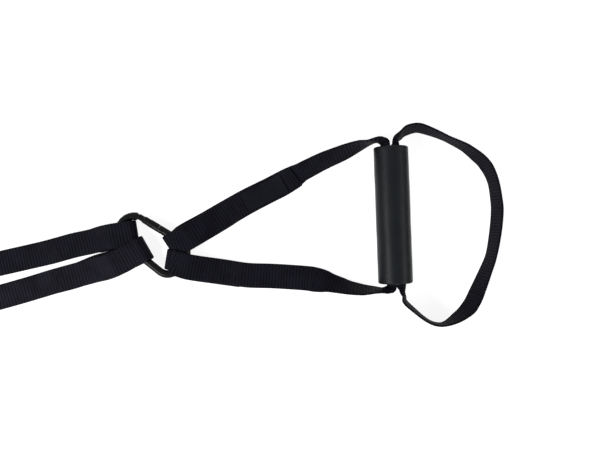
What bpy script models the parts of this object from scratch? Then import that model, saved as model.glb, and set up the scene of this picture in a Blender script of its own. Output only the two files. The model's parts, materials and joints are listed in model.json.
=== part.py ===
"""Suspension trainer: a foam grip and a foot loop on webbing, a carabiner, and an adjusting strap with
its cam buckle and anchor carabiner. It lies flat, with +Z up, +X from the anchor towards the foot loop."""

import itertools
import math

import bmesh
import bpy
from mathutils import Matrix, Vector

# Webbing
WEB_WIDTH = 0.025
WEB_THICKNESS = 0.0018
LAYER_PITCH = 0.0023
TABLE_GAP = 0.0002
LAYER_GAP = 0.0004
REST_GAP = 0.0003
FREE_GAP = 0.0004
FLAT_LIFT = WEB_THICKNESS / 2 + TABLE_GAP
DOUBLED_LIFT = FLAT_LIFT + LAYER_PITCH
WEB_FACETS = 6
BORE_CURL = math.radians(168)
LEAST_CURL = math.radians(1)
BORE_ARC_RADIUS = WEB_WIDTH / BORE_CURL

# Grip
GRIP_RADIUS = 0.017
FOAM_INNER_RADIUS = 0.0133
CORE_RADIUS = 0.013
CORE_INNER_RADIUS = 0.0118
GRIP_TOP = (0.2045, 0.1182, GRIP_RADIUS)
GRIP_BOTTOM = (0.2093, -0.0152, GRIP_RADIUS)
GRIP_EDGE_ROUND = 0.0016
CORE_SETBACK = 0.001
GRIP_FACETS = 48
GRIP_EDGE_STEPS = 4

# Carabiner
BAR_RADIUS = 0.004
CARABINER_LENGTH = 0.080
NARROW_RADIUS = 0.0152
WIDE_CORNER_RADIUS = 0.012
WIDE_CORNER_AT = CARABINER_LENGTH - BAR_RADIUS - WIDE_CORNER_RADIUS
GATE_SIDE_OUT = 0.0186
SPINE_SIDE_OUT = 0.0176
NARROW_AT = BAR_RADIUS + NARROW_RADIUS
HINGE_AT = 0.0215
GATE_TIP_AT = 0.042
LAP_LENGTH = 0.005
LAP_GAP = 0.0003
LAP_STEP_GAP = 0.0008
TONGUE_BACK = 0.0070
TIP_ROUND = 0.0005
BACK_ROUNDS = ((0, 0.0014), (0.0008, 0.0005), (0.0022, 0))
NECK_SET_IN = 0.0014
NECK_RADIUS = BAR_RADIUS - NECK_SET_IN
NECK_FROM = 0.0125
NECK_TO = 0.0163
GATE_CHEEK = 0.0021
SLOT_HALF_WIDTH = BAR_RADIUS - GATE_CHEEK
TONGUE_HALF_THICKNESS = SLOT_HALF_WIDTH - FREE_GAP
TONGUE_SET_IN = 0.0012
TONGUE_HALF_HEIGHT = BAR_RADIUS - TONGUE_SET_IN
GATE_BACK = TONGUE_HALF_HEIGHT + REST_GAP
SLOT_ROOM = 0.0028
SLOT_DEPTH = TONGUE_HALF_HEIGHT + SLOT_ROOM
PIN_RADIUS = 0.0012
PIN_HOLE_RADIUS = 0.0015
PIN_SET_IN = 0.0001
PIN_HALF_LENGTH = BAR_RADIUS - PIN_SET_IN
SPRING_BORE_WALL = 0.0015
SPRING_BORE_RADIUS = BAR_RADIUS - SPRING_BORE_WALL
SPRING_WIRE_RADIUS = 0.0003
SPRING_ROOM = 0.0005
SPRING_RADIUS = SPRING_BORE_RADIUS - SPRING_ROOM - SPRING_WIRE_RADIUS
SPRING_LENGTH = 0.0080
SPRING_TURNS = 6
BAR_FACETS = 16
BOW_STEPS = 11
CORNER_STEPS = 6
EYE_FACETS = 24
HOLE_FACETS = 16
WIRE_FACETS = 6
COIL_STEPS = 10

# Handle carabiner, on two webbing layers
HANDLE_CARABINER_AT = (-0.1806, 0.0048)
HANDLE_CARABINER_TURN = math.radians(-35.54)
INNER_LOW = DOUBLED_LIFT - TABLE_GAP
BAR_HEIGHT = INNER_LOW + WEB_THICKNESS / 2 + FREE_GAP + BAR_RADIUS
INNER_HIGH = BAR_HEIGHT + BAR_RADIUS + FREE_GAP + WEB_THICKNESS / 2
OUTER_HIGH = INNER_HIGH + WEB_THICKNESS + LAYER_GAP

# Anchor carabiner, on one webbing layer
ANCHOR_FOLD = (-0.5200, -0.1080)
ANCHOR_TURN = math.radians(13.4)
ANCHOR_FOLD_SET_IN = 0.0105
ANCHOR_FOLD_AT = CARABINER_LENGTH - 2 * BAR_RADIUS - ANCHOR_FOLD_SET_IN
ANCHOR_BAR_HEIGHT = TABLE_GAP + WEB_THICKNESS + FREE_GAP + BAR_RADIUS
ANCHOR_HIGH = ANCHOR_BAR_HEIGHT + BAR_RADIUS + FREE_GAP + WEB_THICKNESS / 2
ANCHOR_GATHER_SHARE = 0.84

# Cam buckle
BUCKLE_AT = (-0.3636, -0.0530)
BUCKLE_TURN = math.radians(13.4)
FLOOR_THICKNESS = 0.0016
WALL_THICKNESS = 0.0022
BUCKLE_HALF_WIDTH = 0.0172
BUCKLE_BACK = -0.0200
FLOOR_FRONT = 0.0060
BUCKLE_FRONT = 0.0190
WALL_HEIGHT = 0.0135
REAR_BAR_AT = 0.0140
REAR_BAR_HEIGHT = 0.0062
REAR_BAR_RADIUS = 0.0025
CAM_AT = -0.0060
CAM_RADIUS = 0.0050
CAM_HEIGHT = TABLE_GAP + FLOOR_THICKNESS + REST_GAP + WEB_THICKNESS + FREE_GAP + CAM_RADIUS
CAM_PIN_RADIUS = 0.0016
CAM_HOLE_RADIUS = 0.0019
LEVER_LENGTH = 0.0230
LEVER_THICKNESS = 0.0024
LEVER_RISE = 0.0022
LEVER_SET_IN = 0.0002
PIN_HEAD_RADIUS = 0.0028
PIN_HEAD_THICKNESS = 0.0010
PIN_SHOULDER = 0.00005
CAM_SPRING_RADIUS = 0.0030
CAM_SPRING_WIRE_RADIUS = 0.00025
CAM_SPRING_LENGTH = 0.0018
CAM_SPRING_GAP = 0.0007
CAM_HALF_WIDTH = BUCKLE_HALF_WIDTH - WALL_THICKNESS - CAM_SPRING_LENGTH - 2 * CAM_SPRING_GAP
CAM_SPRING_TURNS = 2
CAM_FACETS = 24
CAM_HOLE_FACETS = 20
BUCKLE_WEB_HEIGHT = TABLE_GAP + FLOOR_THICKNESS + REST_GAP + WEB_THICKNESS / 2
TAIL_END = 0.0420

# Webbing edges, each pair the outer and the inner edge
UPPER_LEG_EDGES = (
    ((0.0147, 0.0536, 0.0011), (0.0268, 0.0310, 0.0011)),
    ((0.0550, 0.0756, 0.0011), (0.0671, 0.0548, 0.0011)),
    ((0.0873, 0.0915, 0.0011), (0.0994, 0.0705, 0.0011)),
    ((0.1116, 0.1011, 0.0190), (0.1215, 0.0866, 0.0012)),
    ((0.1350, 0.1120, 0.0204), (0.1447, 0.0992, 0.0012)),
    ((0.1544, 0.1188, 0.0220), (0.1639, 0.1084, 0.0012)),
    ((0.1698, 0.1228, 0.0245), (0.1770, 0.1165, 0.0013)),
    ((0.1806, 0.1232, 0.0266), (0.1857, 0.1222, 0.0022)),
)
LOWER_LEG_EDGES = (
    ((0.1893, -0.0239, 0.0271), (0.1906, -0.0205, 0.0024)),
    ((0.1763, -0.0262, 0.0249), (0.1780, -0.0180, 0.0013)),
    ((0.1640, -0.0258, 0.0237), (0.1664, -0.0148, 0.0012)),
    ((0.1448, -0.0239, 0.0200), (0.1473, -0.0076, 0.0012)),
    ((0.1219, -0.0239, 0.0011), (0.1231, -0.0002, 0.0011)),
    ((0.0853, -0.0218, 0.0011), (0.0868, 0.0024, 0.0011)),
)
FOOT_LOOP_EDGES = (
    ((0.2125, 0.1318, 0.0262), (0.2176, 0.1288, 0.0022)),
    ((0.2190, 0.1382, 0.0253), (0.2233, 0.1324, 0.0014)),
    ((0.2331, 0.1397, 0.0252), (0.2377, 0.1342, 0.0012)),
    ((0.2586, 0.1280, 0.0258), (0.2627, 0.1258, 0.0012)),
    ((0.2747, 0.1217, 0.0255), (0.2783, 0.1170, 0.0012)),
    ((0.2907, 0.1120, 0.0255), (0.2904, 0.1060, 0.0012)),
    ((0.3013, 0.1007, 0.0257), (0.2984, 0.0967, 0.0012)),
    ((0.3083, 0.0815, 0.0260), (0.3054, 0.0822, 0.0012)),
    ((0.3120, 0.0552, 0.0259), (0.3082, 0.0558, 0.0012)),
    ((0.3102, 0.0349, 0.0259), (0.3066, 0.0357, 0.0012)),
    ((0.3063, 0.0142, 0.0256), (0.3026, 0.0105, 0.0012)),
    ((0.3004, -0.0058, 0.0257), (0.2959, -0.0042, 0.0012)),
    ((0.2942, -0.0256, 0.0246), (0.2853, -0.0263, 0.0012)),
    ((0.2859, -0.0421, 0.0247), (0.2783, -0.0382, 0.0012)),
    ((0.2704, -0.0523, 0.0258), (0.2697, -0.0480, 0.0012)),
    ((0.2547, -0.0561, 0.0257), (0.2598, -0.0567, 0.0012)),
    ((0.2417, -0.0534, 0.0254), (0.2480, -0.0555, 0.0013)),
    ((0.2296, -0.0455, 0.0257), (0.2362, -0.0471, 0.0016)),
    ((0.2177, -0.0355, 0.0265), (0.2261, -0.0380, 0.0030)),
    ((0.2143, -0.0294, 0.0268), (0.2225, -0.0317, 0.0034)),
)

# Webbing centre lines: x, y and height
UPPER_LONG_NEAR_RING = (
    (-0.0019, 0.0293, INNER_LOW),
    (0.0051, 0.0336, INNER_LOW),
)
UPPER_SHORT_NEAR_RING = (
    (-0.0003, 0.0269, INNER_HIGH),
    (0.0068, 0.0307, INNER_HIGH),
    (0.0194, 0.0384, 0.0098),
    (0.0307, 0.0454, 0.0052),
    (0.0409, 0.0518, DOUBLED_LIFT),
)
LOWER_LONG_NEAR_RING = (
    (0.0625, -0.0087, DOUBLED_LIFT),
    (0.0405, -0.0054, DOUBLED_LIFT),
    (0.0266, -0.0033, 0.0052),
    (0.0145, -0.0012, 0.0104),
    (0.0025, 0.0013, OUTER_HIGH),
    (-0.0070, 0.0043, OUTER_HIGH),
)
LOWER_SHORT_NEAR_RING = (
    (-0.0070, 0.0026, FLAT_LIFT),
    (0.0025, -0.0011, FLAT_LIFT),
    (0.0266, -0.0047, FLAT_LIFT),
    (0.0560, -0.0087, FLAT_LIFT),
)
BUCKLE_WEB_SHORT = (
    (-0.2500, -0.0268, FLAT_LIFT),
    (-0.2265, -0.0203, FLAT_LIFT),
    (-0.2060, -0.0158, FLAT_LIFT),
    (-0.2010, -0.0154, INNER_LOW),
    (-0.1760, -0.0094, INNER_LOW),
)
BUCKLE_WEB_LONG = (
    (-0.1760, -0.0094, INNER_HIGH),
    (-0.1880, -0.0115, INNER_HIGH),
    (-0.1990, -0.0137, 0.0082),
    (-0.2100, -0.0168, 0.0040),
    (-0.2265, -0.0203, DOUBLED_LIFT),
    (-0.2500, -0.0268, DOUBLED_LIFT),
    (-0.2620, -0.0296, FLAT_LIFT),
    (-0.2900, -0.0360, FLAT_LIFT),
)
LOAD_WEB_SHORT = (
    (-0.2480, -0.0570, FLAT_LIFT),
    (-0.2253, -0.0509, FLAT_LIFT),
    (-0.2042, -0.0424, FLAT_LIFT),
    (-0.1850, -0.0370, FLAT_LIFT),
    (-0.1720, -0.0319, FLAT_LIFT),
)
LOAD_WEB_LONG = (
    (-0.1720, -0.0333, OUTER_HIGH),
    (-0.1850, -0.0396, OUTER_HIGH),
    (-0.1955, -0.0430, 0.0110),
    (-0.2065, -0.0456, 0.0052),
    (-0.2253, -0.0507, DOUBLED_LIFT),
    (-0.2480, -0.0570, DOUBLED_LIFT),
    (-0.2620, -0.0612, FLAT_LIFT),
    (-0.3000, -0.0722, FLAT_LIFT),
    (-0.3490, -0.0840, FLAT_LIFT),
    (-0.4000, -0.0930, FLAT_LIFT),
    (-0.4450, -0.0970, FLAT_LIFT),
    (-0.4811, -0.0990, FLAT_LIFT),
    (-0.5030, -0.1040, FLAT_LIFT),
)
LOAD_WEB_RETURN = (
    (-0.5000, -0.1033, ANCHOR_HIGH),
    (-0.4860, -0.0990, 0.0088),
    (-0.4700, -0.0930, 0.0048),
    (-0.4500, -0.0845, 0.0037),
    (-0.4200, -0.0705, 0.0034),
)
BUCKLE_FOLD_FROM = (
    (0.0440, DOUBLED_LIFT),
    (0.0360, DOUBLED_LIFT),
    (0.0290, 0.0045),
    (0.0225, 0.0078),
    (0.0170, 0.0102),
)
BUCKLE_LOW_FROM = ((0.0180, 0.0022), (0.0260, FLAT_LIFT))
TAIL_FROM = (
    (-0.0300, 0.0032),
    (-0.0190, BUCKLE_WEB_HEIGHT),
    (-0.0060, BUCKLE_WEB_HEIGHT),
    (0.0010, 0.0033),
    (0.0045, 0.0060),
    (0.0080, 0.0100),
    (0.0120, 0.0126),
    (0.0180, 0.0128),
    (0.0235, 0.0104),
    (0.0300, 0.0071),
    (0.0370, 0.0060),
    (TAIL_END, 0.0058),
)

# Folds: the outermost point, x and y, and the way it points
BUCKLE_WEB_FOLD = (-0.1617, -0.0066)
BUCKLE_WEB_FOLD_TURN = math.radians(9)
BUCKLE_GATHER_SHARE = 0.86
LOAD_WEB_FOLD = (-0.1514, -0.0214)
LOAD_WEB_FOLD_TURN = math.radians(29.5)
UPPER_FOLD = (-0.0159, 0.0198)
UPPER_FOLD_TURN = math.radians(213)
LOWER_FOLD = (-0.0179, 0.0082)
LOWER_FOLD_TURN = math.radians(171)
UPPER_GATHER_SHARE = 0.88
LOWER_GATHER_SHARE = 0.81

# Bends at the grip's mouths: their places, and each one's share of the full curl
HANDLE_TOP_BEND = ((0.1906, 0.1234, 0.0163), (0.1943, 0.1213, 0.0170))
HANDLE_BOTTOM_BEND = ((0.2010, -0.0185, 0.0170), (0.1974, -0.0206, 0.0160))
FOOT_TOP_BEND = ((0.2115, 0.1229, 0.0165), (0.2120, 0.1262, 0.0155))
FOOT_BOTTOM_BEND = ((0.2184, -0.0258, 0.0160), (0.2181, -0.0225, 0.0165))
HANDLE_CURL_SHARES = (0.25, 0.70)
FOOT_CURL_SHARES = (0.72, 0.30)
FOOT_LEAN_SHARE = -0.05
BORE_SKEW = 0.0008
BORE_SPREAD = 0.0020

# Label and stitched seams
LABEL_WIDTH = 0.0200
LABEL_THICKNESS = 0.0006
SHORT_FROM = 0.0455
SHORT_LENGTH = 0.0660
SHORT_ASIDE_NEAR = 0.0013
SHORT_ASIDE_FAR = -0.0005
SEAM_WIDTH = 0.0200
SEAM_THICKNESS = 0.0005
SEAM_LENGTH = 0.0080
SEAM_INSET = 0.0010
SEAM_UPPER_FROM = SHORT_FROM + SEAM_INSET
SEAM_LOWER_FROM = 0.0475
SEAM_LOAD_FROM = -0.2470
SEAM_BUCKLE_FROM = -0.2490
LABEL_GAP = 0.0060
LABEL_INSET = 0.0120
LABEL_FROM = SEAM_UPPER_FROM + SEAM_LENGTH + LABEL_GAP
LABEL_TO = SHORT_FROM + SHORT_LENGTH - LABEL_INSET
SEAM_LIFT = WEB_THICKNESS / 2 + REST_GAP + SEAM_THICKNESS / 2
LABEL_LIFT = WEB_THICKNESS / 2 + LAYER_GAP + LABEL_THICKNESS

SECTION_STEP = 0.012
SECTION_TURN = math.radians(14)
FOLD_SECTIONS = 7
SHORT_SECTIONS = 11
SEAM_SECTIONS = 3

COLOURS = {
    "webbing": (0.012, 0.012, 0.017),
    "foam": (0.028, 0.031, 0.034),
    "steel": (0.02, 0.021, 0.023),
    "plastic": (0.015, 0.015, 0.016),
    "thread": (0.02, 0.02, 0.024),
    "label": (0.016, 0.017, 0.021),
    "spring": (0.35, 0.35, 0.36),
}


class Frame:
    """One cross-section of a webbing: its middle, width direction, surface normal, curl and gather."""

    def __init__(self, centre, across, curl=0, gather=1):
        self.centre = Vector(centre)
        self.across = Vector(across).normalized()
        self.normal = Vector((0, 0, 1))
        self.curl = curl
        self.gather = gather

    def lifted(self, height):
        copy = Frame(self.centre + self.normal * height, self.across, self.curl, self.gather)
        copy.normal = self.normal.copy()
        return copy


def blended(before, a, b, after, share):
    """A Catmull-Rom step between the values a and b."""
    square = share * share
    cube = square * share
    return 0.5 * (
        2 * a
        + (b - before) * share
        + (2 * before - 5 * a + 4 * b - after) * square
        + (3 * a - before - 3 * b + after) * cube
    )


def smoothed(stations, closed=False):
    """More sections between the stations where the webbing turns or is long, each square to its path."""
    count = len(stations)
    spans = count if closed else count - 1
    found = []
    for i in range(spans):
        a, b = stations[i], stations[(i + 1) % count]
        before = stations[i - 1] if closed or i else a
        after = stations[(i + 2) % count] if closed or i + 2 < count else b
        chord_in = (b.centre - before.centre).normalized()
        chord_out = (after.centre - a.centre).normalized()
        turn = chord_in.angle(chord_out) + a.across.angle(b.across) / 2
        steps = max(1, math.ceil(turn / SECTION_TURN))
        steps = max(steps, math.ceil((b.centre - a.centre).length / (2 * SECTION_STEP)))
        for step in range(steps):
            share = step / steps
            centre = blended(before.centre, a.centre, b.centre, after.centre, share)
            centre.z = a.centre.z + (b.centre.z - a.centre.z) * share
            across = a.across.lerp(b.across, share)
            curl = a.curl + (b.curl - a.curl) * share
            gather = a.gather + (b.gather - a.gather) * share
            found.append(Frame(centre, across, curl, gather))
    if not closed:
        last = stations[-1]
        found.append(Frame(last.centre, last.across, last.curl, last.gather))
    squared(found, closed)
    for frame in found:
        lowest = min(point.z for point in section(frame, WEB_WIDTH, WEB_THICKNESS))
        frame.centre.z += max(TABLE_GAP - lowest, 0)
    return found


def squared(frames, closed=False):
    """Turns each section square to the path, and sets its normal."""
    count = len(frames)
    for i, frame in enumerate(frames):
        before = frames[i - 1] if closed or i else frame
        after = frames[(i + 1) % count] if closed or i + 1 < count else frame
        along = (after.centre - before.centre).normalized()
        frame.across = (frame.across - along * frame.across.dot(along)).normalized()
        frame.normal = along.cross(frame.across).normalized()


def section(frame, width, thickness):
    """The points of one cross-section, along its outer face and back along its inner face."""
    arc = BORE_CURL * frame.curl
    wide = width * frame.gather
    outer, inner = [], []
    for facet in range(WEB_FACETS + 1):
        share = facet / WEB_FACETS - 0.5
        if arc > LEAST_CURL:
            radius = wide / arc
            turn = share * arc
            sideways = radius * math.sin(turn)
            sink = radius * (1 - math.cos(turn))
            normal = frame.normal * math.cos(turn) + frame.across * math.sin(turn)
        else:
            sideways = share * wide
            sink = 0
            normal = frame.normal
        middle = frame.centre + frame.across * sideways - frame.normal * sink
        outer.append(middle + normal * (thickness / 2))
        inner.append(middle - normal * (thickness / 2))
    return outer + inner[::-1]


def material(name, colour, roughness, metallic=0):
    made = bpy.data.materials.new(name)
    made.use_nodes = True
    shader = made.node_tree.nodes["Principled BSDF"]
    shader.inputs["Base Color"].default_value = (*colour, 1)
    shader.inputs["Roughness"].default_value = roughness
    shader.inputs["Metallic"].default_value = metallic
    return made


def node(name, mesh, colour, roughness=0.7, metallic=0, origin=(0, 0, 0), smooth=True):
    """An object whose mesh is given in the world and whose origin lies on its joint's axis."""
    mesh.transform(Matrix.Translation(-Vector(origin)))
    obj = bpy.data.objects.new(name, mesh)
    obj.location = origin
    bpy.context.scene.collection.objects.link(obj)
    mesh.materials.append(material(name, colour, roughness, metallic))
    if smooth:
        mesh.shade_smooth()
        mesh.set_sharp_from_angle(angle=math.radians(35))
    return obj


def mesh_of(bm, name):
    bmesh.ops.recalc_face_normals(bm, faces=bm.faces)
    mesh = bpy.data.meshes.new(name)
    bm.to_mesh(mesh)
    bm.free()
    return mesh


def skinned(name, rings, closed):
    """A closed surface over the rings of points, with flat ends when the path is open."""
    bm = bmesh.new()
    rows = [[bm.verts.new(point) for point in ring] for ring in rings]
    around = len(rows[0])
    for i in range(len(rows) if closed else len(rows) - 1):
        near, far = rows[i], rows[(i + 1) % len(rows)]
        for j in range(around):
            k = (j + 1) % around
            bm.faces.new((near[j], near[k], far[k], far[j]))
    if not closed:
        for row in (rows[0], rows[-1]):
            half = around // 2
            for j in range(half - 1):
                bm.faces.new((row[j], row[j + 1], row[around - 2 - j], row[around - 1 - j]))
    return mesh_of(bm, name)


def webbing(
    name,
    frames,
    closed=False,
    width=WEB_WIDTH,
    thickness=WEB_THICKNESS,
    colour="webbing",
    origin=(0, 0, 0),
):
    rings = [section(frame, width, thickness) for frame in frames]
    return node(name, skinned(name, rings, closed), COLOURS[colour], 0.85, origin=origin)


def rod(name, points, radii, facets, up=Vector((0, 0, 1)), closed=False):
    """A round bar along the points."""
    rings = []
    count = len(points)
    for i, point in enumerate(points):
        before = points[i - 1] if closed or i else point
        after = points[(i + 1) % count] if closed or i + 1 < count else point
        along = (after - before).normalized()
        side = along.cross(up).normalized()
        top = side.cross(along)
        ring = []
        for facet in range(facets):
            turn = math.tau * facet / facets
            ring.append(point + (side * math.cos(turn) + top * math.sin(turn)) * radii[i])
        rings.append(ring)
    bm = bmesh.new()
    rows = [[bm.verts.new(point) for point in ring] for ring in rings]
    for i in range(count if closed else count - 1):
        near, far = rows[i], rows[(i + 1) % count]
        for j in range(facets):
            k = (j + 1) % facets
            bm.faces.new((near[j], near[k], far[k], far[j]))
    if not closed:
        bm.faces.new(rows[0])
        bm.faces.new(rows[-1])
    return mesh_of(bm, name)


def box(name, low, high):
    bm = bmesh.new()
    bmesh.ops.create_cube(bm, size=1)
    low, high = Vector(low), Vector(high)
    for vert in bm.verts:
        share = vert.co + Vector((0.5, 0.5, 0.5))
        vert.co = low + Vector(share[i] * (high - low)[i] for i in range(3))
    return mesh_of(bm, name)


def helper(name, mesh, placement):
    """A hidden shape that is cut from a piece, or joined to it."""
    mesh.transform(placement)
    obj = bpy.data.objects.new(name, mesh)
    bpy.context.scene.collection.objects.link(obj)
    obj.hide_render = True
    obj.display_type = "WIRE"
    return obj


def combine(obj, tool, operation):
    step = obj.modifiers.new(tool.name, "BOOLEAN")
    step.operation = operation
    step.object = tool
    step.solver = "EXACT"


def fold(spot, turn, low_first, low, high, gather=1):
    """Sections round a fold, from its lower layer to its upper one, or the other way round."""
    x, y = spot
    out = Vector((math.cos(turn), math.sin(turn), 0))
    radius = (high - low) / 2
    middle = Vector((x, y, (high + low) / 2)) - out * (radius + WEB_THICKNESS / 2)
    found = []
    for i in range(FOLD_SECTIONS):
        share = i / (FOLD_SECTIONS - 1)
        angle = math.pi * (share - 0.5) * (1 if low_first else -1)
        point = middle + out * (radius * math.cos(angle)) + Vector((0, 0, radius * math.sin(angle)))
        found.append((point, out, gather))
    return found


def web_line(points, across_of):
    """Stations from x, y and height, with the width square to the path in plan."""
    return [Frame(point, across_of(i), 0, 1) for i, point in enumerate(points)]


def plan_across(points, flip=1):
    """The level direction square to the path at each point, on its left for flip 1."""
    def across_of(i):
        before = Vector(points[max(i - 1, 0)])
        after = Vector(points[min(i + 1, len(points) - 1)])
        along = after - before
        return Vector((-along.y, along.x, 0)).normalized() * flip
    return across_of


def line_frames(points, flip=1):
    return web_line(points, plan_across(points, flip))


def fold_frames(found, flip):
    """Sections of a fold. Their width lies left of the way that the fold points, for flip 1."""
    return [Frame(point, Vector((-out.y, out.x, 0)) * flip, 0, gather) for point, out, gather in found]


def past_hook(place):
    """A place on the handle's side, from its distance to the wide end of the handle's hook."""
    x, y, *rest = place
    return (
        x + HANDLE_CARABINER_AT[0] + CARABINER_LENGTH * math.cos(HANDLE_CARABINER_TURN),
        y + HANDLE_CARABINER_AT[1] + CARABINER_LENGTH * math.sin(HANDLE_CARABINER_TURN),
        *rest,
    )


def reach_past_hook(*reach):
    return tuple(past_hook((x, 0))[0] for x in reach)


def handle_line(places, flip=1):
    return line_frames([past_hook(place) for place in places], flip)


def edge_frames(rows):
    found = []
    for outer, inner in rows:
        outer, inner = Vector(past_hook(outer)), Vector(past_hook(inner))
        found.append(Frame((outer + inner) / 2, outer - inner))
    return found


for thing in list(bpy.data.objects):
    bpy.data.objects.remove(thing)

# The webbings
grip_top, grip_bottom = Vector(past_hook(GRIP_TOP)), Vector(past_hook(GRIP_BOTTOM))
grip_down = (grip_bottom - grip_top).normalized()
grip_right = Vector((-grip_down.y, grip_down.x, 0))
grip_middle = (grip_top + grip_bottom) / 2
grip_length = (grip_bottom - grip_top).length
UP = Vector((0, 0, 1))
BORE_SHARES = (-0.01, 0.15, 0.5, 0.85, 1.01)


def bore_frames(side, shares):
    """Sections in the grip's bore, curled against its left wall for side -1 and its right one for 1."""
    found = []
    for share in shares:
        spread = BORE_SPREAD * max(math.sin(math.pi * share), 0)
        aside = side * (BORE_ARC_RADIUS + spread) + BORE_SKEW * (2 * share - 1)
        found.append(Frame(grip_top + grip_down * (grip_length * share) + grip_right * aside, UP, 1))
    return found


def bend_frames(places, curls, lean=0):
    """Sections that stand on edge, the top edge leaning sideways by a share of the height."""
    return [Frame(past_hook(place), UP + grip_right * lean, curl) for place, curl in zip(places, curls)]


upper_fold = fold_frames(
    fold(past_hook(UPPER_FOLD), UPPER_FOLD_TURN, False, INNER_LOW, INNER_HIGH, UPPER_GATHER_SHARE), -1
)
upper_long = smoothed(upper_fold[-1:] + handle_line(UPPER_LONG_NEAR_RING) + edge_frames(UPPER_LEG_EDGES))
short_reach = reach_past_hook(SHORT_FROM, SHORT_FROM + SHORT_LENGTH)
label_reach = reach_past_hook(LABEL_FROM, LABEL_TO)


def at_reach(frames, x):
    """The section where the webbing crosses x."""
    for a, b in zip(frames, frames[1:]):
        low, high = sorted((a.centre.x, b.centre.x))
        if low <= x <= high and high > low:
            share = (x - a.centre.x) / (b.centre.x - a.centre.x)
            found = Frame(a.centre.lerp(b.centre, share), a.across.lerp(b.across, share))
            found.normal = a.normal.lerp(b.normal, share).normalized()
            return found
    return frames[-1]


def lifted_strip(frames, reach, height, count, aside_near=0, aside_far=0):
    """Sections of a layer that lies on the webbing, from one x to another."""
    found = []
    for i in range(count):
        share = i / (count - 1)
        frame = at_reach(frames, reach[0] + (reach[1] - reach[0]) * share)
        layer = frame.lifted(height if frame.normal.z > 0 else -height)
        layer.centre -= layer.across * (aside_near + (aside_far - aside_near) * share)
        found.append(layer)
    return found


lower_fold = fold(past_hook(LOWER_FOLD), LOWER_FOLD_TURN, False, FLAT_LIFT, OUTER_HIGH, LOWER_GATHER_SHARE)
upper_short = lifted_strip(
    upper_long, short_reach, LAYER_PITCH, SHORT_SECTIONS, SHORT_ASIDE_NEAR, SHORT_ASIDE_FAR
)
handle_stations = (
    upper_short[::-1]
    + handle_line(UPPER_SHORT_NEAR_RING[::-1], -1)
    + upper_fold
    + handle_line(UPPER_LONG_NEAR_RING)
    + edge_frames(UPPER_LEG_EDGES)
    + bend_frames(HANDLE_TOP_BEND, HANDLE_CURL_SHARES)
    + bore_frames(-1, BORE_SHARES)
    + bend_frames(HANDLE_BOTTOM_BEND, HANDLE_CURL_SHARES[::-1])
    + edge_frames(LOWER_LEG_EDGES)
    + handle_line(LOWER_LONG_NEAR_RING)
    + fold_frames(lower_fold, 1)
    + handle_line(LOWER_SHORT_NEAR_RING, -1)
)
handle_frames = smoothed(handle_stations)
webbing("handle_strap", handle_frames)

foot_stations = (
    bend_frames(FOOT_TOP_BEND, FOOT_CURL_SHARES, FOOT_LEAN_SHARE)
    + edge_frames(FOOT_LOOP_EDGES)
    + bend_frames(FOOT_BOTTOM_BEND, FOOT_CURL_SHARES[::-1], FOOT_LEAN_SHARE)
    + bore_frames(1, BORE_SHARES[::-1])
)
webbing("foot_loop", smoothed(foot_stations, True), True, origin=grip_middle)

buckle_place = Matrix.Translation((*BUCKLE_AT, 0)) @ Matrix.Rotation(BUCKLE_TURN, 4, "Z")


def in_buckle(rows):
    return [buckle_place @ Vector((along, 0, height)) for along, height in rows]


rear_low = REAR_BAR_HEIGHT - REAR_BAR_RADIUS - FREE_GAP - WEB_THICKNESS / 2
rear_high = REAR_BAR_HEIGHT + REAR_BAR_RADIUS + FREE_GAP + WEB_THICKNESS / 2
rear_fold = buckle_place @ Vector((REAR_BAR_AT - (rear_high - rear_low) / 2 - WEB_THICKNESS / 2, 0, 0))
rear_turn = BUCKLE_TURN + math.pi
hook_end_fold = fold(
    BUCKLE_WEB_FOLD, BUCKLE_WEB_FOLD_TURN, False, INNER_LOW, INNER_HIGH, BUCKLE_GATHER_SHARE
)
buckle_stations = (
    line_frames(in_buckle(BUCKLE_FOLD_FROM), -1)
    + fold_frames(fold(rear_fold[:2], rear_turn, False, rear_low, rear_high), -1)
    + line_frames(in_buckle(BUCKLE_LOW_FROM))
    + line_frames(BUCKLE_WEB_LONG[::-1])
    + fold_frames(hook_end_fold, 1)
    + line_frames(BUCKLE_WEB_SHORT[::-1], -1)
)
buckle_frames = smoothed(buckle_stations)
webbing("buckle_strap", buckle_frames)

anchor_fold = fold(ANCHOR_FOLD, ANCHOR_TURN + math.pi, True, FLAT_LIFT, ANCHOR_HIGH, ANCHOR_GATHER_SHARE)
load_stations = (
    line_frames(LOAD_WEB_SHORT)
    + fold_frames(fold(LOAD_WEB_FOLD, LOAD_WEB_FOLD_TURN, True, FLAT_LIFT, OUTER_HIGH), 1)
    + line_frames(LOAD_WEB_LONG, -1)
    + fold_frames(anchor_fold, -1)
    + line_frames(LOAD_WEB_RETURN)
    + line_frames(in_buckle(TAIL_FROM))
)
load_frames = smoothed(load_stations)
webbing("load_strap", load_frames)

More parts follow.
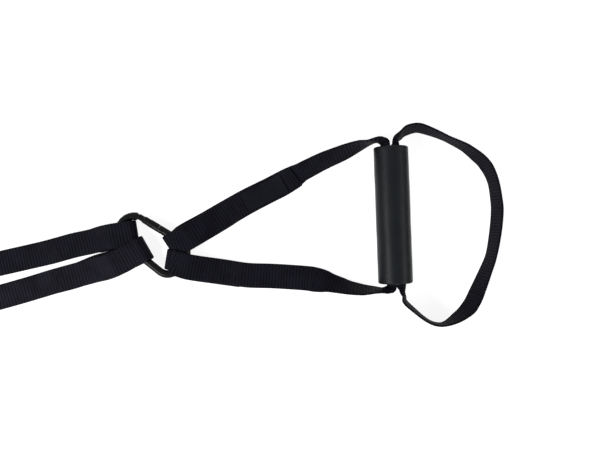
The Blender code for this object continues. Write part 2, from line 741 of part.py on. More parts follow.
# Label and stitched seams
doubled_frames = list(itertools.takewhile(lambda frame: frame.centre.x > short_reach[0], handle_frames))
label_frames = lifted_strip(doubled_frames, (label_reach[1],) * 2, LABEL_LIFT, 2)[:1]
for frame in doubled_frames:
    if label_reach[0] < frame.centre.x < label_reach[1]:
        label_frames.append(frame.lifted(-LABEL_LIFT))
label_frames += lifted_strip(doubled_frames, (label_reach[0],) * 2, LABEL_LIFT, 2)[:1]
webbing(
    "label",
    label_frames,
    width=LABEL_WIDTH,
    thickness=LABEL_THICKNESS,
    colour="label",
)
lower_long = smoothed(handle_line(LOWER_LONG_NEAR_RING))
load_long = smoothed(line_frames(LOAD_WEB_LONG, -1))
buckle_long = smoothed(line_frames(BUCKLE_WEB_LONG, -1))
SEAMS = (
    ("seam_handle_upper", upper_short, *reach_past_hook(SEAM_UPPER_FROM)),
    ("seam_handle_lower", lower_long, *reach_past_hook(SEAM_LOWER_FROM)),
    ("seam_load", load_long, SEAM_LOAD_FROM),
    ("seam_buckle", buckle_long, SEAM_BUCKLE_FROM),
)
for name, frames, start in SEAMS:
    strip = lifted_strip(frames, (start, start + SEAM_LENGTH), SEAM_LIFT, SEAM_SECTIONS)
    webbing(name, strip, width=SEAM_WIDTH, thickness=SEAM_THICKNESS, colour="thread")


# The grip
def tube(name, profile, facets, colour, roughness):
    """A round piece about the grip's axis, from pairs of reach along the axis and radius."""
    place = Matrix.Translation(grip_middle) @ grip_down.to_track_quat("Z", "X").to_matrix().to_4x4()
    bm = bmesh.new()
    rows = []
    for facet in range(facets):
        turn = math.tau * facet / facets
        rows.append(
            [
                bm.verts.new(place @ Vector((radius * math.cos(turn), radius * math.sin(turn), along)))
                for along, radius in profile
            ]
        )
    for i, row in enumerate(rows):
        after = rows[(i + 1) % facets]
        for j in range(len(profile)):
            k = (j + 1) % len(profile)
            bm.faces.new((row[j], row[k], after[k], after[j]))
    return node(name, mesh_of(bm, name), COLOURS[colour], roughness, origin=grip_middle)


half = grip_length / 2
edge = GRIP_EDGE_ROUND
foam_profile = [(-half, FOAM_INNER_RADIUS), (-half, GRIP_RADIUS - edge)]
for step in range(1, GRIP_EDGE_STEPS):
    turn = math.pi / 2 * step / GRIP_EDGE_STEPS
    foam_profile.append((-half + edge * (1 - math.cos(turn)), GRIP_RADIUS - edge * (1 - math.sin(turn))))
foam_profile.append((-half + edge, GRIP_RADIUS))
foam_profile += [(-along, radius) for along, radius in foam_profile[::-1]]
tube("grip_foam", foam_profile, GRIP_FACETS, "foam", 0.9)
core_half = half - CORE_SETBACK
core_profile = [
    (-core_half, CORE_INNER_RADIUS),
    (-core_half, CORE_RADIUS),
    (core_half, CORE_RADIUS),
    (core_half, CORE_INNER_RADIUS),
]
tube("grip_core", core_profile, GRIP_FACETS, "plastic", 0.5)


# The carabiners
def arc_points(centre_x, centre_y, radius, start, end, steps):
    found = []
    for step in range(steps + 1):
        turn = math.radians(start + (end - start) * step / steps)
        found.append(Vector((centre_x + radius * math.cos(turn), centre_y + radius * math.sin(turn), 0)))
    return found


gate_slope = (GATE_SIDE_OUT - NARROW_RADIUS) / (WIDE_CORNER_AT - NARROW_AT)
gate_turn = math.atan(gate_slope)


def on_gate_line(along):
    return Vector((along, NARROW_RADIUS + (along - NARROW_AT) * gate_slope, 0))


def cylinder(name, radius, low, high, facets, axis="Z"):
    points = [Vector((0, 0, low)), Vector((0, 0, high))]
    mesh = rod(name, points, (radius, radius), facets, Vector((1, 0, 0)))
    if axis == "X":
        mesh.transform(Matrix.Rotation(math.pi / 2, 4, "Y"))
    if axis == "Y":
        mesh.transform(Matrix.Rotation(-math.pi / 2, 4, "X"))
    return mesh


def carabiner(prefix, place, hook_turn_at):
    """A snap hook: its bar, its gate with pin and spring, all from one placement."""
    neck = math.degrees(math.asin((NARROW_AT - NECK_TO) / NARROW_RADIUS))
    full = math.degrees(math.asin((NARROW_AT - NECK_FROM) / NARROW_RADIUS))
    path = arc_points(NARROW_AT, 0, NARROW_RADIUS, 90 + neck, 90 + (neck + full) / 2, 1)
    radii = [NECK_RADIUS] * 2
    path += arc_points(NARROW_AT, 0, NARROW_RADIUS, 90 + full, 270, BOW_STEPS)
    corner = WIDE_CORNER_RADIUS
    path += arc_points(WIDE_CORNER_AT, corner - SPINE_SIDE_OUT, corner, 270, 360, CORNER_STEPS)
    path += arc_points(WIDE_CORNER_AT, GATE_SIDE_OUT - corner, corner, 0, 90, CORNER_STEPS)
    path.append(on_gate_line(GATE_TIP_AT - LAP_LENGTH + LAP_STEP_GAP))
    radii += [BAR_RADIUS] * (len(path) - 2)
    mesh = rod(prefix + "_body", path, radii, BAR_FACETS)
    mesh.transform(place)
    body = node(prefix + "_body", mesh, COLOURS["steel"], 0.35, 0.9, place @ Vector(hook_turn_at))

    hinge = on_gate_line(HINGE_AT)
    gate_place = place @ Matrix.Translation(hinge) @ Matrix.Rotation(gate_turn, 4, "Z")
    gate_origin = gate_place @ Vector((0, 0, 0))
    tip = (GATE_TIP_AT - HINGE_AT) / math.cos(gate_turn)
    gap = LAP_GAP / 2
    thick = TONGUE_HALF_THICKNESS
    tall = TONGUE_HALF_HEIGHT
    tongue = box(prefix + "_tongue", (-TONGUE_BACK, -tall, -thick), (0, tall, thick))
    combine(body, helper(prefix + "_tongue", tongue, gate_place), "UNION")
    eye = cylinder(prefix + "_eye", tall, -thick, thick, EYE_FACETS)
    combine(body, helper(prefix + "_eye", eye, gate_place), "UNION")
    wide = 2 * BAR_RADIUS
    lap = box(prefix + "_lap", (tip - wide, -wide, -wide), (tip + LAP_GAP, gap, wide))
    combine(body, helper(prefix + "_lap", lap, gate_place), "DIFFERENCE")
    hole = cylinder(prefix + "_eye_hole", PIN_HOLE_RADIUS, -wide, wide, HOLE_FACETS)
    combine(body, helper(prefix + "_eye_hole", hole, gate_place), "DIFFERENCE")

    bar = BAR_RADIUS
    points = [Vector((reach - GATE_BACK, 0, 0)) for reach, _ in BACK_ROUNDS]
    points += [Vector((tip - TIP_ROUND, 0, 0)), Vector((tip, 0, 0))]
    radii = [bar - less for _, less in BACK_ROUNDS] + [bar, bar - TIP_ROUND]
    mesh = rod(prefix + "_gate", points, radii, BAR_FACETS)
    mesh.transform(gate_place)
    gate = node(prefix + "_gate", mesh, COLOURS["steel"], 0.35, 0.9, gate_origin)
    slot = box(prefix + "_slot", (-wide, -wide, -SLOT_HALF_WIDTH), (SLOT_DEPTH, wide, SLOT_HALF_WIDTH))
    combine(gate, helper(prefix + "_slot", slot, gate_place), "DIFFERENCE")
    bore_end = SLOT_DEPTH + SPRING_LENGTH + 2 * FREE_GAP
    bore = cylinder(prefix + "_bore", SPRING_BORE_RADIUS, SLOT_DEPTH - bar, bore_end, HOLE_FACETS, "X")
    combine(gate, helper(prefix + "_bore", bore, gate_place), "DIFFERENCE")
    hole = cylinder(prefix + "_gate_hole", PIN_HOLE_RADIUS, -wide, wide, HOLE_FACETS)
    combine(gate, helper(prefix + "_gate_hole", hole, gate_place), "DIFFERENCE")
    lap = box(prefix + "_gate_lap", (tip - LAP_LENGTH, -gap, -wide), (tip + wide, wide, wide))
    combine(gate, helper(prefix + "_gate_lap", lap, gate_place), "DIFFERENCE")

    mesh = cylinder(prefix + "_pin", PIN_RADIUS, -PIN_HALF_LENGTH, PIN_HALF_LENGTH, HOLE_FACETS)
    mesh.transform(gate_place)
    node(prefix + "_pin", mesh, COLOURS["steel"], 0.3, 1, gate_origin)
    mesh = coil(prefix + "_spring", SPRING_RADIUS, SPRING_WIRE_RADIUS, SPRING_LENGTH, SPRING_TURNS)
    mesh.transform(gate_place @ Matrix.Translation((SLOT_DEPTH + FREE_GAP, 0, 0)))
    node(prefix + "_spring", mesh, COLOURS["spring"], 0.3, 1, gate_origin)


def coil(name, radius, wire, length, turns):
    """A helical spring along +X from the origin."""
    steps = COIL_STEPS * turns
    points = []
    for step in range(steps + 1):
        turn = math.tau * turns * step / steps
        along = wire + (length - 2 * wire) * step / steps
        points.append(Vector((along, radius * math.cos(turn), radius * math.sin(turn))))
    return rod(name, points, [wire] * len(points), WIRE_FACETS, Vector((1, 0, 0)))


handle_place = Matrix.Translation((*HANDLE_CARABINER_AT, BAR_HEIGHT)) @ Matrix.Rotation(
    HANDLE_CARABINER_TURN, 4, "Z"
)
carabiner("handle_carabiner", handle_place, (NARROW_AT, 0, 0))
anchor_place = (
    Matrix.Translation((*ANCHOR_FOLD, ANCHOR_BAR_HEIGHT))
    @ Matrix.Rotation(ANCHOR_TURN, 4, "Z")
    @ Matrix.Translation((-ANCHOR_FOLD_AT, 0, 0))
)
carabiner("anchor_carabiner", anchor_place, (CARABINER_LENGTH - BAR_RADIUS, 0, 0))

# The cam buckle
half_width = BUCKLE_HALF_WIDTH
inner_width = half_width - WALL_THICKNESS
overlap = WALL_THICKNESS / 2
floor_low = (BUCKLE_BACK, -inner_width - overlap, TABLE_GAP)
floor_high = (FLOOR_FRONT, inner_width + overlap, TABLE_GAP + FLOOR_THICKNESS)
mesh = box("buckle_frame", floor_low, floor_high)
mesh.transform(buckle_place)
buckle_frame = node("buckle_frame", mesh, COLOURS["steel"], 0.4, 0.9, smooth=False)
for side, label in ((1, "left"), (-1, "right")):
    y_pair = sorted((side * inner_width, side * half_width))
    wall = box("buckle_wall_" + label, (BUCKLE_BACK, y_pair[0], 0), (BUCKLE_FRONT, y_pair[1], WALL_HEIGHT))
    combine(buckle_frame, helper("buckle_wall_" + label, wall, buckle_place), "UNION")
bar_reach = inner_width + overlap
bar_mesh = cylinder("buckle_bar", REAR_BAR_RADIUS, -bar_reach, bar_reach, BAR_FACETS, "Y")
bar_place = buckle_place @ Matrix.Translation((REAR_BAR_AT, 0, REAR_BAR_HEIGHT))
combine(buckle_frame, helper("buckle_bar", bar_mesh, bar_place), "UNION")
cam_place = buckle_place @ Matrix.Translation((CAM_AT, 0, CAM_HEIGHT))
cam_origin = cam_place @ Vector((0, 0, 0))
hole_reach = 2 * half_width
wall_hole = cylinder("buckle_pin_hole", CAM_HOLE_RADIUS, -hole_reach, hole_reach, CAM_HOLE_FACETS, "Y")
combine(buckle_frame, helper("buckle_pin_hole", wall_hole, cam_place), "DIFFERENCE")

mesh = cylinder("buckle_cam", CAM_RADIUS, -CAM_HALF_WIDTH, CAM_HALF_WIDTH, CAM_FACETS, "Y")
mesh.transform(cam_place)
cam = node("buckle_cam", mesh, COLOURS["steel"], 0.4, 0.9, cam_origin)
lever = box(
    "buckle_lever",
    (-LEVER_LENGTH, -CAM_HALF_WIDTH, CAM_RADIUS - LEVER_THICKNESS),
    (0, CAM_HALF_WIDTH, CAM_RADIUS - LEVER_SET_IN),
)
lever_tilt = Matrix.Rotation(math.atan(LEVER_RISE / LEVER_LENGTH), 4, "Y")
combine(cam, helper("buckle_lever", lever, cam_place @ lever_tilt), "UNION")
cam_hole = cylinder("buckle_cam_hole", CAM_HOLE_RADIUS, -hole_reach, hole_reach, CAM_HOLE_FACETS, "Y")
combine(cam, helper("buckle_cam_hole", cam_hole, cam_place), "DIFFERENCE")

head = half_width + REST_GAP
end = head + PIN_HEAD_THICKNESS
neck = head - PIN_SHOULDER
pin_reaches = (-end, -head, -neck, neck, head, end)
pin_radii = (PIN_HEAD_RADIUS,) * 2 + (CAM_PIN_RADIUS,) * 2 + (PIN_HEAD_RADIUS,) * 2
pin_points = [Vector((0, 0, reach)) for reach in pin_reaches]
mesh = rod("buckle_pin", pin_points, pin_radii, CAM_HOLE_FACETS, Vector((1, 0, 0)))
mesh.transform(Matrix.Rotation(-math.pi / 2, 4, "X"))
mesh.transform(cam_place)
node("buckle_pin", mesh, COLOURS["steel"], 0.3, 1, cam_origin)
mesh = coil("buckle_spring", CAM_SPRING_RADIUS, CAM_SPRING_WIRE_RADIUS, CAM_SPRING_LENGTH, CAM_SPRING_TURNS)
spring_from = CAM_HALF_WIDTH + CAM_SPRING_GAP
mesh.transform(cam_place @ Matrix.Translation((0, spring_from, 0)) @ Matrix.Rotation(math.pi / 2, 4, "Z"))
node("buckle_spring", mesh, COLOURS["spring"], 0.3, 1, cam_origin)

# The origin is under the middle of the whole part
seen = [obj for obj in bpy.data.objects if not obj.hide_render]
corners = [obj.location + vert.co for obj in seen for vert in obj.data.vertices]
low = Vector(min(corner[i] for corner in corners) for i in range(3))
high = Vector(max(corner[i] for corner in corners) for i in range(3))
for obj in bpy.data.objects:
    obj.location -= Vector(((low.x + high.x) / 2, (low.y + high.y) / 2, low.z))
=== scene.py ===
"""The suspension trainer as it looks: woven straps, foam grip, snap hooks and cam buckle."""

import itertools
import json
import math

import bmesh
import bpy
from mathutils import Matrix, Vector, noise

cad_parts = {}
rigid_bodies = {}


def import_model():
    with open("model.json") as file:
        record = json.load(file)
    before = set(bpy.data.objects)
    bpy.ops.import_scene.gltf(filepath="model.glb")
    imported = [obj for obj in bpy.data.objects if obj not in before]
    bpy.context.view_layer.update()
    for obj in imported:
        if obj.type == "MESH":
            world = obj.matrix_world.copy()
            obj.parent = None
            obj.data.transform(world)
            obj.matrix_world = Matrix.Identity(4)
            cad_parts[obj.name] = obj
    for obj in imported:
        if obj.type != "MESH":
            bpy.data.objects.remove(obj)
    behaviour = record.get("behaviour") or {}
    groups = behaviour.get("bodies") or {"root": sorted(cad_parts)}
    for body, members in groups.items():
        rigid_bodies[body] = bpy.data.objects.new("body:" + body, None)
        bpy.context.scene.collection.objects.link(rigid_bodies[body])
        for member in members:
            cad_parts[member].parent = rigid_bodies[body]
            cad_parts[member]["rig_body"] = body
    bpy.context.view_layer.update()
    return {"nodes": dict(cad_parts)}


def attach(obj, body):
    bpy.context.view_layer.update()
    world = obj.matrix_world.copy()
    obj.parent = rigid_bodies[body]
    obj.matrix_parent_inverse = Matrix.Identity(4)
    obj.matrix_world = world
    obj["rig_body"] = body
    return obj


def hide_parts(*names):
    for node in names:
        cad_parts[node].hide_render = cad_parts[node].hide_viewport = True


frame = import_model()

# The tables below are measured from the middle of the camera's view
VIEW_CENTRE = Vector((0.19143, 0.01875, 0))
CAMERA_HEIGHT = 0.600
VIEW_WIDTH = 0.606

# Webbings, their layers and the bars that they go round
WEB_WIDTH = 0.025
WEB_THICKNESS = 0.0018
LAYER_PITCH = 0.0023
TABLE_GAP = 0.0002
LAYER_GAP = 0.0004
FREE_GAP = 0.0004
REST_GAP = 0.0003
FLAT_LIFT = WEB_THICKNESS / 2 + TABLE_GAP
DOUBLED_LIFT = FLAT_LIFT + LAYER_PITCH
BORE_CURL = math.radians(168)
BORE_ARC_RADIUS = WEB_WIDTH / BORE_CURL
BAR_RADIUS = 0.004
INNER_LOW = DOUBLED_LIFT - TABLE_GAP
BAR_HEIGHT = INNER_LOW + WEB_THICKNESS / 2 + FREE_GAP + BAR_RADIUS
INNER_HIGH = BAR_HEIGHT + BAR_RADIUS + FREE_GAP + WEB_THICKNESS / 2
OUTER_HIGH = INNER_HIGH + WEB_THICKNESS + LAYER_GAP
ANCHOR_BAR_HEIGHT = TABLE_GAP + WEB_THICKNESS + FREE_GAP + BAR_RADIUS
ANCHOR_HIGH = ANCHOR_BAR_HEIGHT + BAR_RADIUS + FREE_GAP + WEB_THICKNESS / 2

# The grip, and how many waves a metre its foam has and how high they are
GRIP_RADIUS = 0.017
FOAM_INNER_RADIUS = 0.0133
GRIP_EDGE_ROUND = 0.0016
GRIP_EDGE_STEPS = 6
GRIP_MOUTH_EASE = 0.0005
GRIP_FACETS = 96
GRIP_ROWS = 48
FOAM_WAVES = 60
FOAM_UNEVENNESS = 0.00018
FOAM_SINK = 0.0001
GRIP_TOP = Vector((0.0890, 0.0765, GRIP_RADIUS))
GRIP_BOTTOM = Vector((0.0938, -0.0569, GRIP_RADIUS))

# The buckle's place and the bars that its webbings go round
BUCKLE_AT = Vector((-0.3636, -0.0530, 0))
BUCKLE_TURN = math.radians(13.4)
REAR_BAR_AT = 0.0140
REAR_BAR_HEIGHT = 0.0062
REAR_BAR_RADIUS = 0.0025
BUCKLE_PLATE_THICKNESS = 0.0016
BUCKLE_WEB_HEIGHT = TABLE_GAP + BUCKLE_PLATE_THICKNESS + REST_GAP + WEB_THICKNESS / 2

# Each webbing's edges, outer then inner, where it stands or leans
UPPER_LEG_EDGES = (
    ((-0.1008, 0.0119, 0.0011), (-0.0887, -0.0107, 0.0011)),
    ((-0.0605, 0.0339, 0.0011), (-0.0484, 0.0131, 0.0011)),
    ((-0.0282, 0.0498, 0.0011), (-0.0161, 0.0288, 0.0011)),
    ((-0.0039, 0.0594, 0.0190), (0.0060, 0.0449, 0.0012)),
    ((0.0195, 0.0703, 0.0204), (0.0292, 0.0575, 0.0012)),
    ((0.0389, 0.0771, 0.0220), (0.0484, 0.0667, 0.0012)),
    ((0.0543, 0.0811, 0.0245), (0.0615, 0.0748, 0.0013)),
    ((0.0651, 0.0815, 0.0266), (0.0702, 0.0805, 0.0022)),
)
LOWER_LEG_EDGES = (
    ((0.0738, -0.0656, 0.0271), (0.0751, -0.0622, 0.0024)),
    ((0.0608, -0.0679, 0.0249), (0.0625, -0.0597, 0.0013)),
    ((0.0485, -0.0675, 0.0237), (0.0509, -0.0565, 0.0012)),
    ((0.0293, -0.0656, 0.0200), (0.0318, -0.0493, 0.0012)),
    ((0.0064, -0.0656, 0.0011), (0.0076, -0.0419, 0.0011)),
    ((-0.0302, -0.0635, 0.0011), (-0.0287, -0.0393, 0.0011)),
)
FOOT_LOOP_EDGES = (
    ((0.0970, 0.0901, 0.0262), (0.1021, 0.0871, 0.0022)),
    ((0.1035, 0.0965, 0.0253), (0.1078, 0.0907, 0.0014)),
    ((0.1176, 0.0980, 0.0252), (0.1222, 0.0925, 0.0012)),
    ((0.1431, 0.0863, 0.0258), (0.1472, 0.0841, 0.0012)),
    ((0.1592, 0.0800, 0.0255), (0.1628, 0.0753, 0.0012)),
    ((0.1752, 0.0703, 0.0255), (0.1749, 0.0643, 0.0012)),
    ((0.1858, 0.0590, 0.0257), (0.1829, 0.0550, 0.0012)),
    ((0.1928, 0.0398, 0.0260), (0.1899, 0.0405, 0.0012)),
    ((0.1965, 0.0135, 0.0259), (0.1927, 0.0141, 0.0012)),
    ((0.1947, -0.0068, 0.0259), (0.1911, -0.0060, 0.0012)),
    ((0.1908, -0.0275, 0.0256), (0.1871, -0.0312, 0.0012)),
    ((0.1849, -0.0475, 0.0257), (0.1804, -0.0459, 0.0012)),
    ((0.1787, -0.0673, 0.0246), (0.1698, -0.0680, 0.0012)),
    ((0.1704, -0.0838, 0.0247), (0.1628, -0.0799, 0.0012)),
    ((0.1549, -0.0940, 0.0258), (0.1542, -0.0897, 0.0012)),
    ((0.1392, -0.0978, 0.0257), (0.1443, -0.0984, 0.0012)),
    ((0.1262, -0.0951, 0.0254), (0.1325, -0.0972, 0.0013)),
    ((0.1141, -0.0872, 0.0257), (0.1207, -0.0888, 0.0016)),
    ((0.1022, -0.0772, 0.0265), (0.1106, -0.0797, 0.0030)),
    ((0.0988, -0.0711, 0.0268), (0.1070, -0.0734, 0.0034)),
)

# Each webbing's middle line where it lies flat
UPPER_LONG_NEAR_RING = (
    (-0.1174, -0.0124, INNER_LOW),
    (-0.1104, -0.0081, INNER_LOW),
)
UPPER_SHORT_NEAR_RING = (
    (-0.1158, -0.0148, INNER_HIGH),
    (-0.1087, -0.0110, INNER_HIGH),
    (-0.0961, -0.0033, 0.0098),
    (-0.0848, 0.0037, 0.0052),
    (-0.0746, 0.0101, DOUBLED_LIFT),
)
LOWER_LONG_NEAR_RING = (
    (-0.0530, -0.0504, DOUBLED_LIFT),
    (-0.0750, -0.0471, DOUBLED_LIFT),
    (-0.0889, -0.0450, 0.0052),
    (-0.1010, -0.0429, 0.0104),
    (-0.1130, -0.0404, OUTER_HIGH),
    (-0.1225, -0.0374, OUTER_HIGH),
)
LOWER_SHORT_NEAR_RING = (
    (-0.1225, -0.0391, FLAT_LIFT),
    (-0.1130, -0.0428, FLAT_LIFT),
    (-0.0889, -0.0464, FLAT_LIFT),
    (-0.0595, -0.0504, FLAT_LIFT),
)
BUCKLE_WEB_SHORT = (
    (-0.2500, -0.0268, FLAT_LIFT),
    (-0.2265, -0.0203, FLAT_LIFT),
    (-0.2060, -0.0158, FLAT_LIFT),
    (-0.2010, -0.0154, INNER_LOW),
    (-0.1760, -0.0094, INNER_LOW),
)
BUCKLE_WEB_LONG = (
    (-0.1760, -0.0094, INNER_HIGH),
    (-0.1880, -0.0115, INNER_HIGH),
    (-0.1990, -0.0137, 0.0082),
    (-0.2100, -0.0168, 0.0040),
    (-0.2265, -0.0203, DOUBLED_LIFT),
    (-0.2500, -0.0268, DOUBLED_LIFT),
    (-0.2620, -0.0296, FLAT_LIFT),
    (-0.2900, -0.0360, FLAT_LIFT),
)
LOAD_WEB_SHORT = (
    (-0.2480, -0.0570, FLAT_LIFT),
    (-0.2253, -0.0509, FLAT_LIFT),
    (-0.2042, -0.0424, FLAT_LIFT),
    (-0.1850, -0.0370, FLAT_LIFT),
    (-0.1720, -0.0319, FLAT_LIFT),
)
LOAD_WEB_LONG = (
    (-0.1720, -0.0333, OUTER_HIGH),
    (-0.1850, -0.0396, OUTER_HIGH),
    (-0.1955, -0.0430, 0.0110),
    (-0.2065, -0.0456, 0.0052),
    (-0.2253, -0.0507, DOUBLED_LIFT),
    (-0.2480, -0.0570, DOUBLED_LIFT),
    (-0.2620, -0.0612, FLAT_LIFT),
    (-0.3000, -0.0722, FLAT_LIFT),
    (-0.3490, -0.0840, FLAT_LIFT),
    (-0.4000, -0.0930, FLAT_LIFT),
    (-0.4450, -0.0970, FLAT_LIFT),
    (-0.4811, -0.0990, FLAT_LIFT),
    (-0.5030, -0.1040, FLAT_LIFT),
)
LOAD_WEB_RETURN = (
    (-0.5000, -0.1033, ANCHOR_HIGH),
    (-0.4860, -0.0990, 0.0088),
    (-0.4700, -0.0930, 0.0048),
    (-0.4500, -0.0845, 0.0037),
    (-0.4200, -0.0705, 0.0034),
)
BUCKLE_FOLD_FROM = (
    (0.0440, DOUBLED_LIFT),
    (0.0360, DOUBLED_LIFT),
    (0.0290, 0.0045),
    (0.0225, 0.0078),
    (0.0170, 0.0102),
)
BUCKLE_LOW_FROM = ((0.0180, 0.0022), (0.0260, FLAT_LIFT))
TAIL_FROM = (
    (-0.0300, 0.0032),
    (-0.0190, BUCKLE_WEB_HEIGHT),
    (-0.0060, BUCKLE_WEB_HEIGHT),
    (0.0010, 0.0033),
    (0.0045, 0.0060),
    (0.0080, 0.0100),
    (0.0120, 0.0126),
    (0.0180, 0.0128),
    (0.0235, 0.0104),
    (0.0300, 0.0071),
    (0.0370, 0.0060),
    (0.0420, 0.0058),
)

# Folds: the outermost point, x and y, the way it points in degrees, and the gather
BUCKLE_WEB_FOLD = (-0.1618, -0.0061, 9, 0.89)
LOAD_WEB_FOLD = (-0.1514, -0.0214, 29.5, 1)
UPPER_FOLD = (-0.1314, -0.0219, 213, 0.88)
LOWER_FOLD = (-0.1334, -0.0335, 171, 0.81)
ANCHOR_FOLD = (-0.5200, -0.1080, 193.4, 0.84)

# Bends at the grip's mouths: x, y, height and the share of the full curl
HANDLE_TOP_BEND = ((0.0751, 0.0817, 0.0163, 0.25), (0.0788, 0.0796, 0.0170, 0.70))
HANDLE_BOTTOM_BEND = ((0.0855, -0.0602, 0.0170, 0.70), (0.0819, -0.0623, 0.0160, 0.25))
FOOT_TOP_BEND = ((0.0960, 0.0812, 0.0165, 0.72), (0.0965, 0.0845, 0.0155, 0.30))
FOOT_BOTTOM_BEND = ((0.1029, -0.0675, 0.0160, 0.30), (0.1026, -0.0642, 0.0165, 0.72))
FOOT_LEAN = -0.05
BORE_SKEW = 0.0008
BORE_SPREAD = 0.0020
BORE_SHARES = (-0.01, 0.15, 0.5, 0.85, 1.01)

# The doubled end, the label on it and the stitching
SHORT_REACH = (-0.0700, -0.0040)
SHORT_ASIDE = (0.0013, -0.0005)
SHORT_SECTIONS = 11
LABEL_SPAN = (-0.0550, -0.0160)
LABEL_WIDTH = 0.0200
LABEL_THICKNESS = 0.0006
LABEL_LIFT = WEB_THICKNESS / 2 + LAYER_GAP + LABEL_THICKNESS
SEAM_WIDTH = 0.0200
STITCH_GAP = 0.0001
STITCH_LIFT = WEB_THICKNESS / 2 + STITCH_GAP
TACK_ROWS = 4
TACK_POINTS = 16
TACK_SWING = 0.42

# How closely the webbings are divided, and their ribs
SECTION_STEP = 0.012
SECTION_TURN = math.radians(14)
FOLD_STEPS = 6
RIB_PITCH = 0.0030
RIB_HEIGHT = 0.00017
RIB_LEVEL = 0.8
LABEL_RIB_PITCH = RIB_PITCH / 4
LABEL_RIB_HEIGHT = RIB_HEIGHT / 8
FLAT_SHARE = 0.45
EDGE_RIB_SHARE = 0.35
FINE_STEP = RIB_PITCH / 6
STEADY_PASSES = 14
FACE_POINTS = 11
SELVEDGE_TURNS = (45, 0, -45)

# The metal's eased edges
HOOK_EASE = 0.00025
BUCKLE_EASE = 0.0004
EASE_STEPS = 3
EASED_FROM = math.radians(40)
SHARP_FROM = math.radians(32)
FLAT_BELOW = math.radians(2)
SAME_SPOT = 1e-6

# The floor and the light
FLOOR_HALF_WIDTH = 4
FLOOR_GREY = (0.40, 0.40, 0.40, 1)
FLOOR_GLOW = 0.88
ROOM_LIGHT = 0.18
SOFTBOX_SIZE = (1.4, 0.26)


# Webbing paths
class Section:
    """One cross-section of a webbing: its middle, width direction, surface normal, curl and gather."""

    def __init__(self, centre, across, curl=0, gather=1):
        self.centre = Vector(centre)
        self.across = Vector(across).normalized()
        self.normal = Vector((0, 0, 1))
        self.curl = curl
        self.gather = gather

    def lifted(self, height):
        copy = Section(self.centre + self.normal * height, self.across, self.curl, self.gather)
        copy.normal = self.normal.copy()
        return copy

    def place(self, share, height, width):
        """The point at a share of the width from the middle, and a height above the middle layer."""
        arc = BORE_CURL * self.curl
        wide = width * self.gather
        if arc < math.radians(1):
            return self.centre + self.across * (share * wide) + self.normal * height
        radius = wide / arc
        turn = share * arc
        normal = self.normal * math.cos(turn) + self.across * math.sin(turn)
        return self.centre - self.normal * radius + normal * (radius + height)


def blended(before, a, b, after, share):
    """A Catmull-Rom step between the values a and b."""
    square = share * share
    cube = square * share
    return 0.5 * (
        2 * a
        + (b - before) * share
        + (2 * before - 5 * a + 4 * b - after) * square
        + (3 * a - before - 3 * b + after) * cube
    )


def squared(sections, closed):
    """Turns each section square to the path, and sets its normal."""
    count = len(sections)
    for i, here in enumerate(sections):
        before = sections[i - 1] if closed or i else here
        after = sections[(i + 1) % count] if closed or i + 1 < count else here
        along = (after.centre - before.centre).normalized()
        here.across = (here.across - along * here.across.dot(along)).normalized()
        here.normal = along.cross(here.across).normalized()


def laid(stations, closed=False):
    """A webbing's sections between its stations, none of them below the table."""
    count = len(stations)
    found = []
    for i in range(count if closed else count - 1):
        a, b = stations[i], stations[(i + 1) % count]
        before = stations[i - 1] if closed or i else a
        after = stations[(i + 2) % count] if closed or i + 2 < count else b
        chord_in = (b.centre - before.centre).normalized()
        chord_out = (after.centre - a.centre).normalized()
        turn = chord_in.angle(chord_out) + a.across.angle(b.across) / 2
        steps = max(1, math.ceil(turn / SECTION_TURN))
        steps = max(steps, math.ceil((b.centre - a.centre).length / (2 * SECTION_STEP)))
        for step in range(steps):
            share = step / steps
            centre = blended(before.centre, a.centre, b.centre, after.centre, share)
            centre.z = a.centre.z + (b.centre.z - a.centre.z) * share
            curl = a.curl + (b.curl - a.curl) * share
            gather = a.gather + (b.gather - a.gather) * share
            found.append(Section(centre, a.across.lerp(b.across, share), curl, gather))
    if not closed:
        last = stations[-1]
        found.append(Section(last.centre, last.across, last.curl, last.gather))
    squared(found, closed)
    half = WEB_THICKNESS / 2
    for here in found:
        spots = itertools.product((-0.5, 0, 0.5), (-half, half))
        lowest = min(here.place(share, side, WEB_WIDTH).z for share, side in spots)
        here.centre.z += max(TABLE_GAP - lowest, 0)
    return found


def steadied(sections, closed):
    """Evens each section's width direction, normal and curl with its neighbours', some passes over."""
    last = len(sections) - 1
    for _ in range(STEADY_PASSES):
        old = [(here.across, here.normal, here.curl) for here in sections]
        for i, here in enumerate(sections):
            near = old[i - 1 if closed else max(i - 1, 0)]
            far = old[(i + 1) % len(old) if closed else min(i + 1, last)]
            here.across = (near[0] + old[i][0] * 2 + far[0]).normalized()
            here.normal = (near[1] + old[i][1] * 2 + far[1]).normalized()
            here.curl = (near[2] + old[i][2] * 2 + far[2]) / 4


def fine(sections, closed=False):
    """Even, close sections along the same path, and each one's distance, stretched to whole ribs."""
    count = len(sections)
    spans = count if closed else count - 1
    lengths = [(sections[(i + 1) % count].centre - sections[i].centre).length for i in range(spans)]
    total = sum(lengths)
    whole = round(total / RIB_PITCH) * RIB_PITCH
    steps = round(whole / FINE_STEP)
    found = []
    span, start = 0, 0
    for step in range(steps if closed else steps + 1):
        reach = total * step / steps
        while span < spans - 1 and reach > start + lengths[span]:
            start += lengths[span]
            span += 1
        share = min((reach - start) / lengths[span], 1)
        a, b = sections[span], sections[(span + 1) % count]
        before = sections[span - 1] if closed or span else a
        after = sections[(span + 2) % count] if closed or span + 2 < count else b
        centre = blended(before.centre, a.centre, b.centre, after.centre, share)
        curl = a.curl + (b.curl - a.curl) * share
        gather = a.gather + (b.gather - a.gather) * share
        here = Section(centre, a.across.lerp(b.across, share), curl, gather)
        here.normal = a.normal.lerp(b.normal, share).normalized()
        found.append((here, whole * step / steps, whole))
    steadied([row[0] for row in found], closed)
    return found


